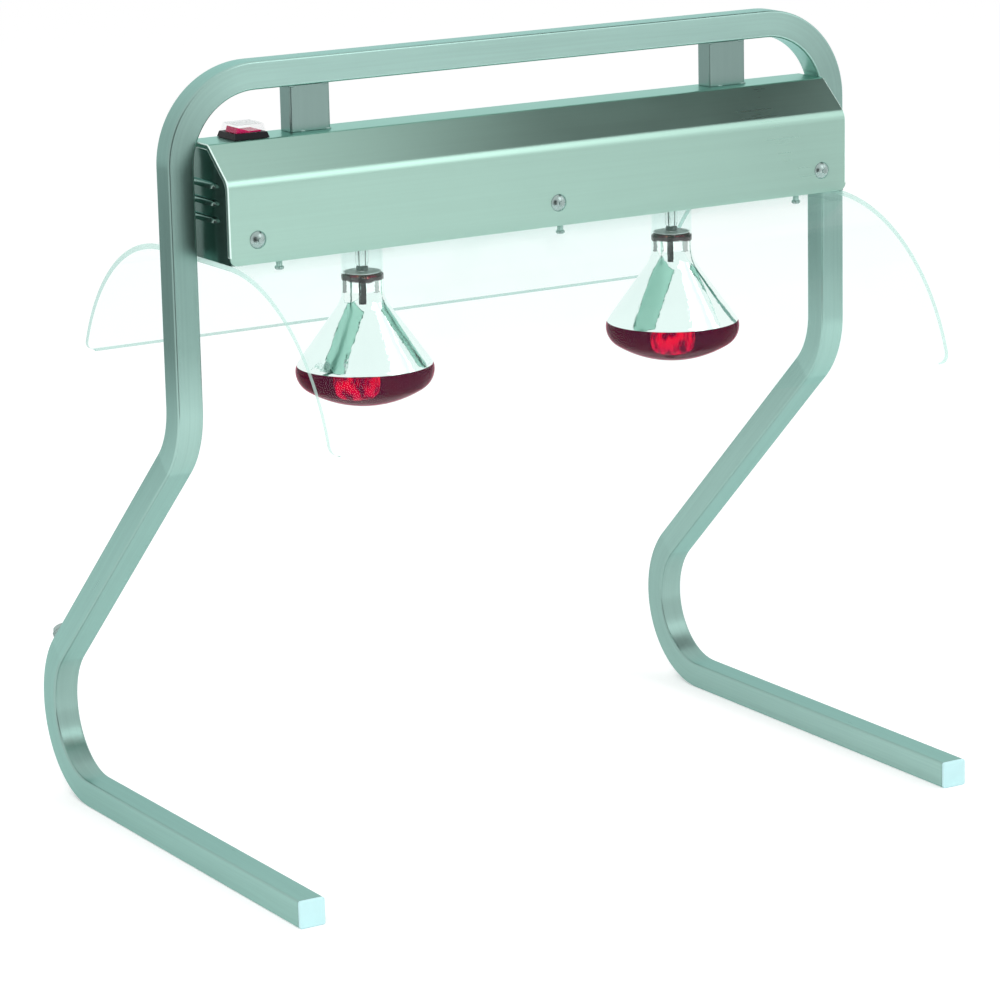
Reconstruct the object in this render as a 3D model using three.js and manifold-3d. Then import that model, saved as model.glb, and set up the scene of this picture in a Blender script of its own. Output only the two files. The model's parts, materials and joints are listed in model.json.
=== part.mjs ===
// Food heat lamp: two infrared bulbs in a folded steel housing that hangs in a bent square-tube stand,
// with a clear arched guard over the food. Millimetres, +Z up, floor at z = 0.
// +X runs along the top bar, the feet point to -Y and the legs stand in the plane y = 0.
import * as THREE from "three";
import { mergeVertices } from "three/addons/utils/BufferGeometryUtils.js";
import Module from "manifold-3d";

const wasm = await Module();
wasm.setup();

const GAP = 0.3; // air between pieces that touch
const SHEET = 1.2; // stainless sheet of the housing
const HOLE_SIDES = 12;

// Stand
const TUBE = 25; // outside of the square tube
const TUBE_WALL = 1.5;
const TUBE_EDGE = 2; // rounding of the tube's long edges
const STAND_HEIGHT = 720;
const LEG_SPACING = 690; // between the leg centres
const FOOT_REACH = 206; // from the leg plane to the front of the feet
const REAR_BEND_Y = 212; // centre of the rear bend behind the leg plane
const BEND_RADIUS = 75; // centreline of every bend
const LEAN = THREE.MathUtils.degToRad(47); // slanting stretch, from upright
const CAP_PLATE = 3; // plate of a foot's end cap
const CAP_SPIGOT = 14; // its plug inside the tube

// Posts that carry the housing
const POST_WIDTH = 40;
const POST_DEPTH = 20;
const POST_SPACE = 41; // from the housing's flat top to the underside of the bar
const POST_INSET = 104.5; // from an end of the housing to the middle of its post
const POST_SHIFT = 5.5; // both posts stand this far to the right of those places

// Housing section: upright skirts, sloping shoulders, flat top
const LAMP_Y = -5; // middle plane of the housing and the bulbs
const HOUSING_CLEAR = 7; // air between a leg and the housing's end
const HOUSING_DEPTH = 110;
const HOUSING_FLAT = 40; // width of the flat top
const SKIRT_HEIGHT = 72; // from the lower edge to where the slope starts
const SLOPE_RISE = 30;
const SHOULDER_RADIUS = 12;
const TOP_RADIUS = 4;
const SKIRT_CORNER = 7; // rounding of the skirts' lower corners
const END_LIP = 5; // the shell's ends are folded in by this much all round
const END_INSET = 1.8; // end plates sit this far inside the shell's ends
const END_FLANGE = 12;

// Louvres in the end plates
const LOUVRES = 3;
const LOUVRE_RISE = 35; // lowest louvre above the skirt's edge
const LOUVRE_PITCH = 15;
const LOUVRE_LENGTH = 60;
const LOUVRE_RADIUS = 5;

// Lamp tray that closes the housing from below
const TRAY_RIM = 32; // height of its upturned edges
const TRAY_BEND = 2.4;
const LAMP_INSET = 160; // from an end of the housing to the axis of its lamp
const TRAY_HOLE = 27; // radius of the hole for a bulb's neck

// Guard: clear sheet, flat on top, a quarter arc down at front and rear
const GUARD_SHEET = 5;
const GUARD_INSET = 3; // from the ends of the housing
const GUARD_OFFSET = 18; // its middle stands this far behind the lamps
const GUARD_FLAT = 124.6;
const GUARD_RADIUS = 181; // outside
const GUARD_FRONT_DROP = 138; // front edge below the skirt's edge
const GUARD_REAR_DROP = 123;
const GUARD_CORNER = 9; // rounding of its lower corners
const GUARD_HOLE = 30; // radius round a bulb's neck
const GUARD_SCREW_INSET = 8; // from the skirts' outer faces
const GUARD_SCREW_END = 51.5; // from the ends of the housing
const GUARD_SCREW_MIDDLE = 14; // the middle one stands off the centre
const GUARD_SCREW_RADIUS = 2.5;
const GUARD_SCREW_HEAD = 4.3;
const GUARD_SCREW_GRIP = 3; // height of the head
const GUARD_SCREW_END_RISE = 4; // of the shank over the tray

// Dome-head screws through the skirts
const SKIRT_SCREW_END = 27.5; // from the ends of the housing
const SKIRT_SCREW_MIDDLE = 8; // the middle one stands off the centre
const SKIRT_SCREW_RISE = 21; // above the skirt's edge
const SCREW_HEAD_RADIUS = 8;
const SCREW_HEAD_HEIGHT = 4.5;
const SCREW_SOCKET = 2.3; // radius over the corners
const SCREW_SOCKET_DEPTH = 2.6;
const SCREW_SHANK = 3; // radius
const SCREW_REACH = 9; // length of the shank

// Bulb, 125 mm reflector shape with an E27 cap
const BULB_RADIUS = 62.5;
const BULB_FACE_RADIUS = 101;
const BULB_EDGE_BELOW = 19; // rounding from the face to the widest ring
const BULB_EDGE_ABOVE = 14; // rounding from there to the cone
const BULB_CONE = THREE.MathUtils.degToRad(36); // slope of the cone, from upright
const BULB_NECK_RADIUS = 19;
const BULB_NECK_BLEND = 29; // rounding from the cone to the neck
const BULB_SHOULDER = 8; // rounding of the neck's upper end
const BULB_SHOULDER_DROP = 14; // centre of that rounding under the rim of the cap
const BULB_THROAT_RADIUS = 13.3;
const BULB_THROAT_LENGTH = 1.3;
const BULB_THROAT_DROP = 4; // upper end of the throat under the rim of the cap
const BULB_SEAT_DROP = 2; // the glass has its width inside the cap from here up
const BULB_LENGTH = 181;
const GLASS_WALL = 1;
const CAP_RADIUS = 13.1;
const CAP_WALL = 0.5;
const CAP_LENGTH = 28;
const CAP_CONE = 7; // the cap narrows over this length to its contact
const CAP_HOLD = 8.5; // length of glass inside the cap
const BULB_SIDES = 24;
const INNER_SIDES = 20; // of the round pieces inside the housing

// Inside the bulb
const STEM_LENGTH = 55;
const STEM_RADIUS = 6;
const STEM_PINCH = 4.2; // radius of its lower stretch
const SHIELD_RADIUS = 17;
const SHIELD_SHEET = 0.6;
const SHIELD_DROP = 32.5; // under the rim of the cap
const FILAMENT_RING = 17;
const FILAMENT_WIRE = 0.8;
const FILAMENT_RISE = 23; // over the widest ring of the glass
const FILAMENT_LEGS = 2; // the wires stand this far from the axis

// Ceramic holder and the bridge that it hangs from
const HOLDER_RISE = 58; // its back above the skirt's edge
const HOLDER_HEIGHT = 53;
const HOLDER_BACK = 23.5; // thickness of its closed end
const HOLDER_BORE = 15.6;
const HOLDER_RADIUS = 22;
const HOLDER_HEAD = 25; // radius of the thicker end
const HOLDER_HEAD_HEIGHT = 14;
const SLEEVE_WALL = 0.8;
const CONTACT_SPACE = 4; // between the bulb's contact and the holder's floor
const CONTACT_STRIP = 0.7;
const CONTACT_WIDTH = 7;
const CLAMP_X = 18; // middle of a clamp recess beside the axis
const CLAMP_WIDTH = 6;
const CLAMP_HEIGHT = 8;
const CLAMP_TOP = 3; // under the holder's back
const CLAMP_FLOOR_Y = 16; // floor of the recess in front of the axis
const BRACKET_STRIP = 1.5;
const BRACKET_WIDTH = 26;
const BRACKET_INSET = 19; // its uprights stand this far inside the skirts
const BRACKET_FOOT = 10;

// Rocker switch under a clear splash cover
const SWITCH_INSET = 45.5; // from the housing's left end
const SWITCH_BEZEL = 34;
const BEZEL_RIM = 1.5; // bevel of the bezel's upper edge
const BEZEL_HEIGHT = 5;
const SWITCH_BODY = 28; // square body below the panel
const SWITCH_DEPTH = 26;
const SWITCH_WELL = 8; // depth of the well under the panel
const BLADE_X = 8;
const BLADE_Y = 5;
const BLADE_LENGTH = 8;
const BLADE_WIDTH = 4.8;
const BLADE_THICKNESS = 0.8;
const ROCKER_HALF = 11.5;
const ROCKER_WIDTH = 20;
const ROCKER_RISE = 5; // of its ends over the pivot
const ROCKER_DIP = 3; // of its middle over the pivot
const ROCKER_DEPTH = 5.5;
const ROCKER_TILT = THREE.MathUtils.degToRad(9);
const PIN_RADIUS = 2;
const PIN_LENGTH = 1.5;
const PIVOT_SINK = 2; // the pivot lies this far below the bezel's top
const COVER_FOOT = 30;
const COVER_TOP = 27;
const COVER_HEIGHT = 7.5;
const COVER_WALL = 0.9;

// Four-pole terminal block and the leads
const POLE_PITCH = 10;
const BLOCK_DEPTH = 18;
const BLOCK_HEIGHT = 15;
const BLOCK_BORE_Z = 6; // of the wire holes over the block's foot
const BLOCK_BORE = 2;
const WELL_RADIUS = 2.2;
const LEAD_RADIUS = 1.4;
const WIRE_HOLE = 6; // radius of the holes that lead into the post

// Cable gland on the rear face of the left leg
const GLAND_THREAD = 6; // radius
const GLAND_BORE = 3.6;
const GLAND_GRIP = 10; // radius
const GLAND_HEIGHT = 10.6;
const GLAND_REACH = 7; // of the thread inside the tube
const NUT_RADIUS = 8.6; // over the corners
const NUT_HEIGHT = 4.1;

// Places that follow from the sizes
const LEG_X = LEG_SPACING / 2;
const HALF_TUBE = TUBE / 2;
const BAR_UNDERSIDE = STAND_HEIGHT - TUBE;
const HOUSING_LENGTH = LEG_SPACING - TUBE - 2 * HOUSING_CLEAR;
const HOUSING_END = HOUSING_LENGTH / 2;
const TOP_Z = BAR_UNDERSIDE - POST_SPACE;
const SHOULDER_Z = TOP_Z - SLOPE_RISE;
const SKIRT_Z = SHOULDER_Z - SKIRT_HEIGHT; // lower edge of the housing
const FRONT_Y = LAMP_Y - HOUSING_DEPTH / 2;
const REAR_Y = LAMP_Y + HOUSING_DEPTH / 2;
const END_X = HOUSING_END - END_INSET;
const LEFT_POST_X = POST_INSET - HOUSING_END + POST_SHIFT;
const RIGHT_POST_X = HOUSING_END - POST_INSET + POST_SHIFT;
const LAMP_X = HOUSING_END - LAMP_INSET;
const SWITCH_X = SWITCH_INSET - HOUSING_END;
const SKIRT_SCREW_X = [SKIRT_SCREW_END - HOUSING_END, SKIRT_SCREW_MIDDLE, HOUSING_END - SKIRT_SCREW_END];
const SKIRT_SCREW_Z = SKIRT_Z + SKIRT_SCREW_RISE;
const GUARD_SCREW_X = [GUARD_SCREW_END - HOUSING_END, GUARD_SCREW_MIDDLE, HOUSING_END - GUARD_SCREW_END];
const HOLDER_TOP_Z = SKIRT_Z + HOLDER_RISE;
const HOLDER_MOUTH_Z = HOLDER_TOP_Z - HOLDER_HEIGHT;
const HOLDER_FLOOR_Z = HOLDER_TOP_Z - HOLDER_BACK;
const BULB_TOP_Z = HOLDER_FLOOR_Z - CONTACT_SPACE;
const BULB_BOTTOM_Z = BULB_TOP_Z - BULB_LENGTH;
const BULB_FACE_EDGE = Math.asin((BULB_RADIUS - BULB_EDGE_BELOW) / (BULB_FACE_RADIUS - BULB_EDGE_BELOW));
const BULB_WIDEST_Z =
  BULB_BOTTOM_Z + BULB_FACE_RADIUS - (BULB_FACE_RADIUS - BULB_EDGE_BELOW) * Math.cos(BULB_FACE_EDGE);
const CAP_RIM_Z = BULB_TOP_Z - CAP_LENGTH;
const GLASS_TOP_Z = CAP_RIM_Z + CAP_HOLD;
const GLASS_SEAT = CAP_RADIUS - CAP_WALL - 0.4; // radius of the glass inside the cap
const STEM_LOW_Z = GLASS_TOP_Z - STEM_LENGTH;
const SHIELD_Z = CAP_RIM_Z - SHIELD_DROP;
const BRACKET_HALF = HOUSING_DEPTH / 2 - BRACKET_INSET;

// Solids and their joins

function solid(geometry) {
  const bare = geometry.clone();
  bare.deleteAttribute("normal");
  bare.deleteAttribute("uv");
  const merged = mergeVertices(bare, 1e-4);
  const corners = merged.index.array;
  const kept = [];
  for (let i = 0; i < corners.length; i += 3) {
    const [a, b, c] = [corners[i], corners[i + 1], corners[i + 2]];
    if (a !== b && b !== c && a !== c) kept.push(a, b, c);
  }
  return new wasm.Manifold(
    new wasm.Mesh({
      numProp: 3,
      vertProperties: merged.attributes.position.array,
      triVerts: new Uint32Array(kept),
    }),
  );
}

function geometryOf(body) {
  const mesh = body.getMesh();
  const geometry = new THREE.BufferGeometry();
  geometry.setAttribute("position", new THREE.BufferAttribute(new Float32Array(mesh.vertProperties), 3));
  geometry.setIndex(new THREE.BufferAttribute(new Uint32Array(mesh.triVerts), 1));
  geometry.computeVertexNormals();
  return geometry;
}

const join = (first, ...others) => others.reduce((sum, body) => sum.add(body), first);
const cut = (body, ...tools) => tools.reduce((rest, tool) => rest.subtract(tool), body);

function box(x0, x1, y0, y1, z0, z1) {
  const geometry = new THREE.BoxGeometry(x1 - x0, y1 - y0, z1 - z0);
  geometry.translate((x0 + x1) / 2, (y0 + y1) / 2, (z0 + z1) / 2);
  return solid(geometry);
}

// Upright, along X, and along Y
function disc(x, y, z0, z1, radius, sides = HOLE_SIDES) {
  const geometry = new THREE.CylinderGeometry(radius, radius, z1 - z0, sides);
  geometry.rotateX(Math.PI / 2);
  geometry.translate(x, y, (z0 + z1) / 2);
  return solid(geometry);
}

function rodAlongY(x, y0, y1, z, radius, sides = HOLE_SIDES) {
  const geometry = new THREE.CylinderGeometry(radius, radius, y1 - y0, sides);
  geometry.translate(x, (y0 + y1) / 2, z);
  return solid(geometry);
}

// Closed profile of [radius, height] points turned about a vertical axis
function turned(points, x, y, sides) {
  const profile = points.map(([r, z]) => new THREE.Vector2(r, z));
  if (THREE.ShapeUtils.area(profile) < 0) profile.reverse();
  const geometry = new THREE.LatheGeometry(profile, sides);
  geometry.rotateX(Math.PI / 2);
  return solid(geometry).translate([x, y, 0]);
}

// A shape drawn in (y, z) and carried along X
function alongX(shape, x0, x1, curveSegments = 4) {
  const geometry = new THREE.ExtrudeGeometry(shape, { depth: x1 - x0, bevelEnabled: false, curveSegments });
  const turn = new THREE.Matrix4().makeBasis(
    new THREE.Vector3(0, 1, 0),
    new THREE.Vector3(0, 0, 1),
    new THREE.Vector3(1, 0, 0),
  );
  geometry.applyMatrix4(turn);
  geometry.translate(x0, 0, 0);
  return solid(geometry);
}

// A shape drawn in (x, z) and carried along Y
function alongY(shape, y0, y1, curveSegments = 4) {
  const geometry = new THREE.ExtrudeGeometry(shape, { depth: y1 - y0, bevelEnabled: false, curveSegments });
  geometry.rotateX(Math.PI / 2);
  geometry.translate(0, y1, 0);
  return solid(geometry);
}

// Corner i of an open or closed run of points, moved sideways by d to the left of the run
function moved(points, i, d, closed) {
  const n = points.length;
  const before = closed || i > 0 ? points[(i - 1 + n) % n] : null;
  const after = closed || i < n - 1 ? points[(i + 1) % n] : null;
  const here = points[i];
  const side = (a, b) => new THREE.Vector2(a.y - b.y, b.x - a.x).normalize();
  if (!before) return here.clone().addScaledVector(side(here, after), d);
  if (!after) return here.clone().addScaledVector(side(before, here), d);
  const [m, k] = [side(before, here), side(here, after)];
  const mean = m.clone().add(k).normalize();
  return here.clone().addScaledVector(mean, d / mean.dot(m));
}

const sideways = (points, d, closed = false) => points.map((_, i) => moved(points, i, d, closed));

// Adds a run of points to a path, each inner corner rounded by its radius
function roundedRun(path, points, radii, start) {
  points.forEach((p, i) => {
    const radius = radii[i];
    if (!radius || i === 0 || i === points.length - 1) {
      if (start && i === 0) path.moveTo(p.x, p.y);
      else path.lineTo(p.x, p.y);
      return;
    }
    const before = points[i - 1].clone().sub(p).normalize();
    const after = points[i + 1].clone().sub(p).normalize();
    const half = Math.acos(before.dot(after)) / 2;
    const first = p.clone().addScaledVector(before, radius / Math.tan(half));
    const last = p.clone().addScaledVector(after, radius / Math.tan(half));
    const middle = before.clone().add(after).normalize();
    const centre = p.clone().addScaledVector(middle, radius / Math.sin(half));
    const angle = (q) => Math.atan2(q.y - centre.y, q.x - centre.x);
    path.lineTo(first.x, first.y);
    path.absarc(centre.x, centre.y, radius, angle(first), angle(last), before.cross(after) > 0);
  });
}

// Section of a bent sheet: its outer side as points with bend radii, the sheet on the right-hand side
function bentSheet(outer, radii, thickness) {
  const shape = new THREE.Shape();
  roundedRun(shape, outer, radii, true);
  const turns = outer.map((p, i) => {
    if (i === 0 || i === outer.length - 1) return 0;
    const into = p.clone().sub(outer[i - 1]);
    return Math.sign(into.cross(outer[i + 1].clone().sub(p)));
  });
  const inner = sideways(outer, -thickness).reverse();
  const innerRadii = radii.map((r, i) => (r ? r + turns[i] * thickness : 0)).reverse();
  roundedRun(shape, inner, innerRadii, false);
  shape.closePath();
  return shape;
}

function roundedRectangle(width, height, radius) {
  const [w, h] = [width / 2 - radius, height / 2 - radius];
  const shape = new THREE.Shape();
  shape.absarc(w, -h, radius, -Math.PI / 2, 0, false);
  shape.absarc(w, h, radius, 0, Math.PI / 2, false);
  shape.absarc(-w, h, radius, Math.PI / 2, Math.PI, false);
  shape.absarc(-w, -h, radius, Math.PI, 1.5 * Math.PI, false);
  return shape;
}

// Stand tube, foot caps and posts

// Walks along the bent tube and notes where its section stands: position and the two section axes
class TubeWalk {
  constructor(position, across, ahead) {
    this.position = position.clone();
    this.across = across.clone();
    this.ahead = ahead.clone();
    this.stations = [];
    this.note();
  }
  note() {
    this.stations.push({
      position: this.position.clone(),
      across: this.across.clone(),
      up: this.ahead.clone().cross(this.across),
    });
  }
  forward(length) {
    this.position.addScaledVector(this.ahead, length);
    this.note();
  }
  bend(axis, angle, radius, steps) {
    const toCentre = axis.clone().cross(this.ahead).multiplyScalar(Math.sign(angle) * radius);
    const centre = this.position.clone().add(toCentre);
    for (let i = 0; i < steps; i += 1) {
      const part = angle / steps;
      this.position.sub(centre).applyAxisAngle(axis, part).add(centre);
      this.across.applyAxisAngle(axis, part);
      this.ahead.applyAxisAngle(axis, part);
      this.note();
    }
  }
}

function standPath() {
  const X = new THREE.Vector3(1, 0, 0);
  const Y = new THREE.Vector3(0, 1, 0);
  const start = new THREE.Vector3(-LEG_X, -FOOT_REACH + CAP_PLATE + GAP, HALF_TUBE);
  const walk = new TubeWalk(start, X, Y);
  const slantEnd = REAR_BEND_Y + BEND_RADIUS * Math.cos(LEAN);
  const slant = slantEnd / Math.sin(LEAN) - BEND_RADIUS * Math.tan(LEAN / 2);
  walk.forward(REAR_BEND_Y - start.y);
  walk.bend(X, Math.PI / 2 + LEAN, BEND_RADIUS, 12);
  walk.forward(slant);
  walk.bend(X, -LEAN, BEND_RADIUS, 4);
  walk.forward(STAND_HEIGHT - HALF_TUBE - BEND_RADIUS - walk.position.z);
  walk.bend(Y, Math.PI / 2, BEND_RADIUS, 8);
  // the right half is the left half seen in a mirror, walked back to front
  const left = walk.stations;
  const right = [...left].reverse().map(({ position, across, up }) => ({
    position: new THREE.Vector3(-position.x, position.y, position.z),
    across: new THREE.Vector3(-across.x, across.y, across.z),
    up,
  }));
  return [...left, ...right];
}

function carried(stations, outline) {
  const n = outline.length;
  const points = [];
  for (const { position, across, up } of stations) {
    for (const q of outline) {
      points.push(position.clone().addScaledVector(across, q.x).addScaledVector(up, q.y));
    }
  }
  const faces = [];
  for (let s = 0; s + 1 < stations.length; s += 1) {
    for (let i = 0; i < n; i += 1) {
      const [a, b] = [s * n + i, s * n + ((i + 1) % n)];
      faces.push(a, b, b + n, a, b + n, a + n);
    }
  }
  const last = (stations.length - 1) * n;
  for (const [a, b, c] of THREE.ShapeUtils.triangulateShape(outline, [])) {
    faces.push(a, c, b, last + a, last + b, last + c);
  }
  const geometry = new THREE.BufferGeometry().setFromPoints(points);
  geometry.setIndex(faces);
  return solid(geometry);
}

function stations(extend) {
  const path = standPath();
  const reach = new THREE.Vector3(0, -extend, 0);
  path[0].position.add(reach);
  path[path.length - 1].position.add(reach);
  return path;
}

const GLAND_SEAT = (() => {
  const normal = new THREE.Vector3(0, Math.cos(LEAN), Math.sin(LEAN));
  const centre = new THREE.Vector3(-LEG_X, REAR_BEND_Y, HALF_TUBE + BEND_RADIUS);
  const foot = centre.addScaledVector(normal, BEND_RADIUS + HALF_TUBE);
  return { foot, normal };
})();

// Turns a solid made on +Z at the origin so that it stands on the gland's seat
function onGlandSeat(body) {
  const tilt = THREE.MathUtils.radToDeg(LEAN) - 90;
  return body.rotate([tilt, 0, 0]).translate(GLAND_SEAT.foot.toArray());
}

function standTube() {
  const outside = roundedRectangle(TUBE, TUBE, TUBE_EDGE).getPoints(1);
  const inside = (TUBE - 2 * TUBE_WALL) / 2;
  const bore = [
    new THREE.Vector2(inside, -inside),
    new THREE.Vector2(inside, inside),
    new THREE.Vector2(-inside, inside),
    new THREE.Vector2(-inside, -inside),
  ];
  const tidy = outside.filter((p, i) => p.distanceTo(outside[(i + 1) % outside.length]) > 1e-6);
  const wireHole = disc(LEFT_POST_X, 0, BAR_UNDERSIDE - 1, BAR_UNDERSIDE + TUBE_WALL + 1, WIRE_HOLE);
  const glandHole = onGlandSeat(disc(0, 0, -TUBE_WALL - 1, 1, GLAND_THREAD + GAP));
  return cut(carried(stations(0), tidy), carried(stations(1), bore), wireHole, glandHole);
}

function footCap(x) {
  const plate = new THREE.ExtrudeGeometry(roundedRectangle(TUBE, TUBE, TUBE_EDGE), {
    depth: CAP_PLATE,
    bevelEnabled: false,
    curveSegments: 1,
  });
  plate.rotateX(Math.PI / 2);
  plate.translate(x, -FOOT_REACH + CAP_PLATE, HALF_TUBE);
  const half = HALF_TUBE - TUBE_WALL - GAP;
  const back = -FOOT_REACH + CAP_PLATE;
  const spigot = box(x - half, x + half, back - 1, back + CAP_SPIGOT, HALF_TUBE - half, HALF_TUBE + half);
  return join(solid(plate), spigot);
}

function post(x) {
  const outer = new THREE.ExtrudeGeometry(roundedRectangle(POST_WIDTH, POST_DEPTH, TUBE_EDGE), {
    depth: BAR_UNDERSIDE - TOP_Z - 2 * GAP,
    bevelEnabled: false,
    curveSegments: 1,
  });
  outer.translate(x, 0, TOP_Z + GAP);
  const [w, d] = [POST_WIDTH / 2 - TUBE_WALL, POST_DEPTH / 2 - TUBE_WALL];
  return cut(solid(outer), box(x - w, x + w, -d, d, TOP_Z - 1, BAR_UNDERSIDE + 1));
}

// Housing, end plates, lamp tray and their screws

// Outer outline of the housing from the rear skirt over the top to the front skirt, moved in by d
function housingOutline(d) {
  const flat = HOUSING_FLAT / 2;
  const run = [
    [REAR_Y, SKIRT_Z],
    [REAR_Y, SHOULDER_Z],
    [LAMP_Y + flat, TOP_Z],
    [LAMP_Y - flat, TOP_Z],
    [FRONT_Y, SHOULDER_Z],
    [FRONT_Y, SKIRT_Z],
  ].map(([y, z]) => new THREE.Vector2(y, z));
  return sideways(run, d);
}

function housingRadii(d) {
  const [shoulder, top] = [SHOULDER_RADIUS - d, Math.max(TOP_RADIUS - d, 0)];
  return [0, shoulder, top, top, shoulder, 0];
}

// Band of the housing's section between its outline and the same outline moved in by depth
function housingBand(depth) {
  const section = new THREE.Shape();
  roundedRun(section, housingOutline(0), housingRadii(0), true);
  roundedRun(section, housingOutline(depth).reverse(), housingRadii(depth).reverse(), false);
  section.closePath();
  return section;
}

function housingShell() {
  const end = HOUSING_END;
  const shell = join(
    alongX(housingBand(SHEET), -end, end, 3),
    alongX(housingBand(END_LIP), -end, -end + SHEET, 3),
    alongX(housingBand(END_LIP), end - SHEET, end, 3),
  );
  // the skirts' lower corners are rounded
  const side = new THREE.Shape();
  const [w, r] = [HOUSING_END, SKIRT_CORNER];
  side.moveTo(-w - 1, TOP_Z + 1);
  side.lineTo(-w - 1, SKIRT_Z + r);
  side.lineTo(-w, SKIRT_Z + r);
  side.absarc(-w + r, SKIRT_Z + r, r, Math.PI, 1.5 * Math.PI, false);
  side.absarc(w - r, SKIRT_Z + r, r, -Math.PI / 2, 0, false);
  side.lineTo(w + 1, SKIRT_Z + r);
  side.lineTo(w + 1, TOP_Z + 1);
  side.closePath();
  const screws = SKIRT_SCREW_X.map((x) =>
    rodAlongY(x, FRONT_Y - 1, REAR_Y + 1, SKIRT_SCREW_Z, SCREW_SHANK + GAP, 8),
  );
  const half = SWITCH_BODY / 2 + GAP;
  const opening = box(
    SWITCH_X - half, SWITCH_X + half, LAMP_Y - half, LAMP_Y + half, TOP_Z - 4, TOP_Z + 1,
  );
  const wireHole = disc(LEFT_POST_X, 0, TOP_Z - 4, TOP_Z + 1, WIRE_HOLE);
  return cut(shell.intersect(alongY(side, FRONT_Y - 1, REAR_Y + 1, 2)), opening, wireHole, ...screws);
}

// A louvre is half a capsule pressed out of the plate, open along its lower side
function louvreBlank(x, z, radius) {
  const length = LOUVRE_LENGTH - 2 * LOUVRE_RADIUS;
  const capsule = new THREE.CapsuleGeometry(radius, length, 2, 12, 1);
  capsule.translate(x, LAMP_Y, z);
  const reach = LOUVRE_LENGTH / 2 + 1;
  return solid(capsule).intersect(box(x - 9, x + 9, LAMP_Y - reach, LAMP_Y + reach, z, z + 9));
}

function endPlate(side) {
  const d = SHEET + GAP;
  const section = new THREE.Shape();
  roundedRun(section, housingOutline(d), housingRadii(d), true);
  section.closePath();
  const hollow = new THREE.Shape();
  const inset = housingOutline(d + SHEET);
  inset[0].y += SHEET;
  inset[inset.length - 1].y += SHEET;
  roundedRun(hollow, inset, housingRadii(d + SHEET), true);
  hollow.closePath();
  const [x0, x1] = [END_X - END_FLANGE, END_X];
  let plate = cut(alongX(section, x0, x1, 2), alongX(hollow, x0 - 1, x1 - SHEET, 2));
  for (let i = 0; i < LOUVRES; i += 1) {
    const z = SKIRT_Z + LOUVRE_RISE + i * LOUVRE_PITCH;
    plate = join(plate, louvreBlank(END_X - 0.2, z, LOUVRE_RADIUS));
    plate = cut(plate, louvreBlank(END_X - 0.2 - SHEET, z - 0.01, LOUVRE_RADIUS - 0.4));
  }
  return side > 0 ? plate : plate.mirror([1, 0, 0]);
}

function lampTray() {
  const [front, rear] = [FRONT_Y + SHEET + GAP, REAR_Y - SHEET - GAP];
  const run = [
    [front, SKIRT_Z + TRAY_RIM],
    [front, SKIRT_Z],
    [rear, SKIRT_Z],
    [rear, SKIRT_Z + TRAY_RIM],
  ].map(([y, z]) => new THREE.Vector2(y, z));
  const length = 2 * (END_X - END_FLANGE - GAP);
  const section = bentSheet(run.reverse(), [0, TRAY_BEND, TRAY_BEND, 0], SHEET);
  const tray = alongX(section, -length / 2, length / 2, 1);
  const lampHoles = [-LAMP_X, LAMP_X].map((x) =>
    disc(x, LAMP_Y, SKIRT_Z - 1, SKIRT_Z + SHEET + 1, TRAY_HOLE, 24),
  );
  const skirtHoles = SKIRT_SCREW_X.map((x) =>
    rodAlongY(x, FRONT_Y - 1, REAR_Y + 1, SKIRT_SCREW_Z, SCREW_SHANK + GAP, 8),
  );
  return cut(tray, ...lampHoles, ...skirtHoles, ...guardScrewHoles(SKIRT_Z - 1, SKIRT_Z + SHEET + 1));
}

// Dome-head screw with a hexagon socket through a skirt; side -1 is the front, +1 the rear
function skirtScrew(x, side) {
  const [r, h] = [SCREW_HEAD_RADIUS, SCREW_HEAD_HEIGHT];
  const dome = [
    [0, h],
    [r * 0.55, h * 0.9],
    [r * 0.82, h * 0.64],
    [r, h * 0.18],
    [r, 0],
    [SCREW_SHANK, 0],
    [SCREW_SHANK, -SCREW_REACH],
    [0, -SCREW_REACH],
  ];
  const socket = disc(0, 0, h - SCREW_SOCKET_DEPTH, h + 1, SCREW_SOCKET, 6);
  const screw = cut(turned(dome, 0, 0, 12), socket);
  const face = side < 0 ? FRONT_Y - GAP : REAR_Y + GAP;
  return screw.rotate([side < 0 ? 90 : -90, 0, 0]).translate([x, face, SKIRT_SCREW_Z]);
}

// Clear guard and its screws

const GUARD_TOP_Z = SKIRT_Z - GAP;

function guardScrewPlaces() {
  return [FRONT_Y + GUARD_SCREW_INSET, REAR_Y - GUARD_SCREW_INSET].flatMap((y) =>
    GUARD_SCREW_X.map((x) => [x, y]),
  );
}

function guardScrewHoles(z0, z1) {
  return guardScrewPlaces().map(([x, y]) => disc(x, y, z0, z1, GUARD_SCREW_RADIUS + GAP, 8));
}

// What is cut away at a lower corner of the sheet, on the side of an end (-1 or 1), from y0 to y1
function guardCorner(side, lowZ, y0, y1) {
  const end = HOUSING_END - GUARD_INSET;
  const centre = side * (end - GUARD_CORNER);
  const shape = new THREE.Shape();
  shape.moveTo(centre, lowZ - 1);
  shape.lineTo(side * (end + 1), lowZ - 1);
  shape.lineTo(side * (end + 1), lowZ + GUARD_CORNER);
  shape.lineTo(side * end, lowZ + GUARD_CORNER);
  shape.absarc(centre, lowZ + GUARD_CORNER, GUARD_CORNER, side < 0 ? Math.PI : 0, -Math.PI / 2, side > 0);
  shape.closePath();
  return alongY(shape, y0, y1, 4);
}

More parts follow.
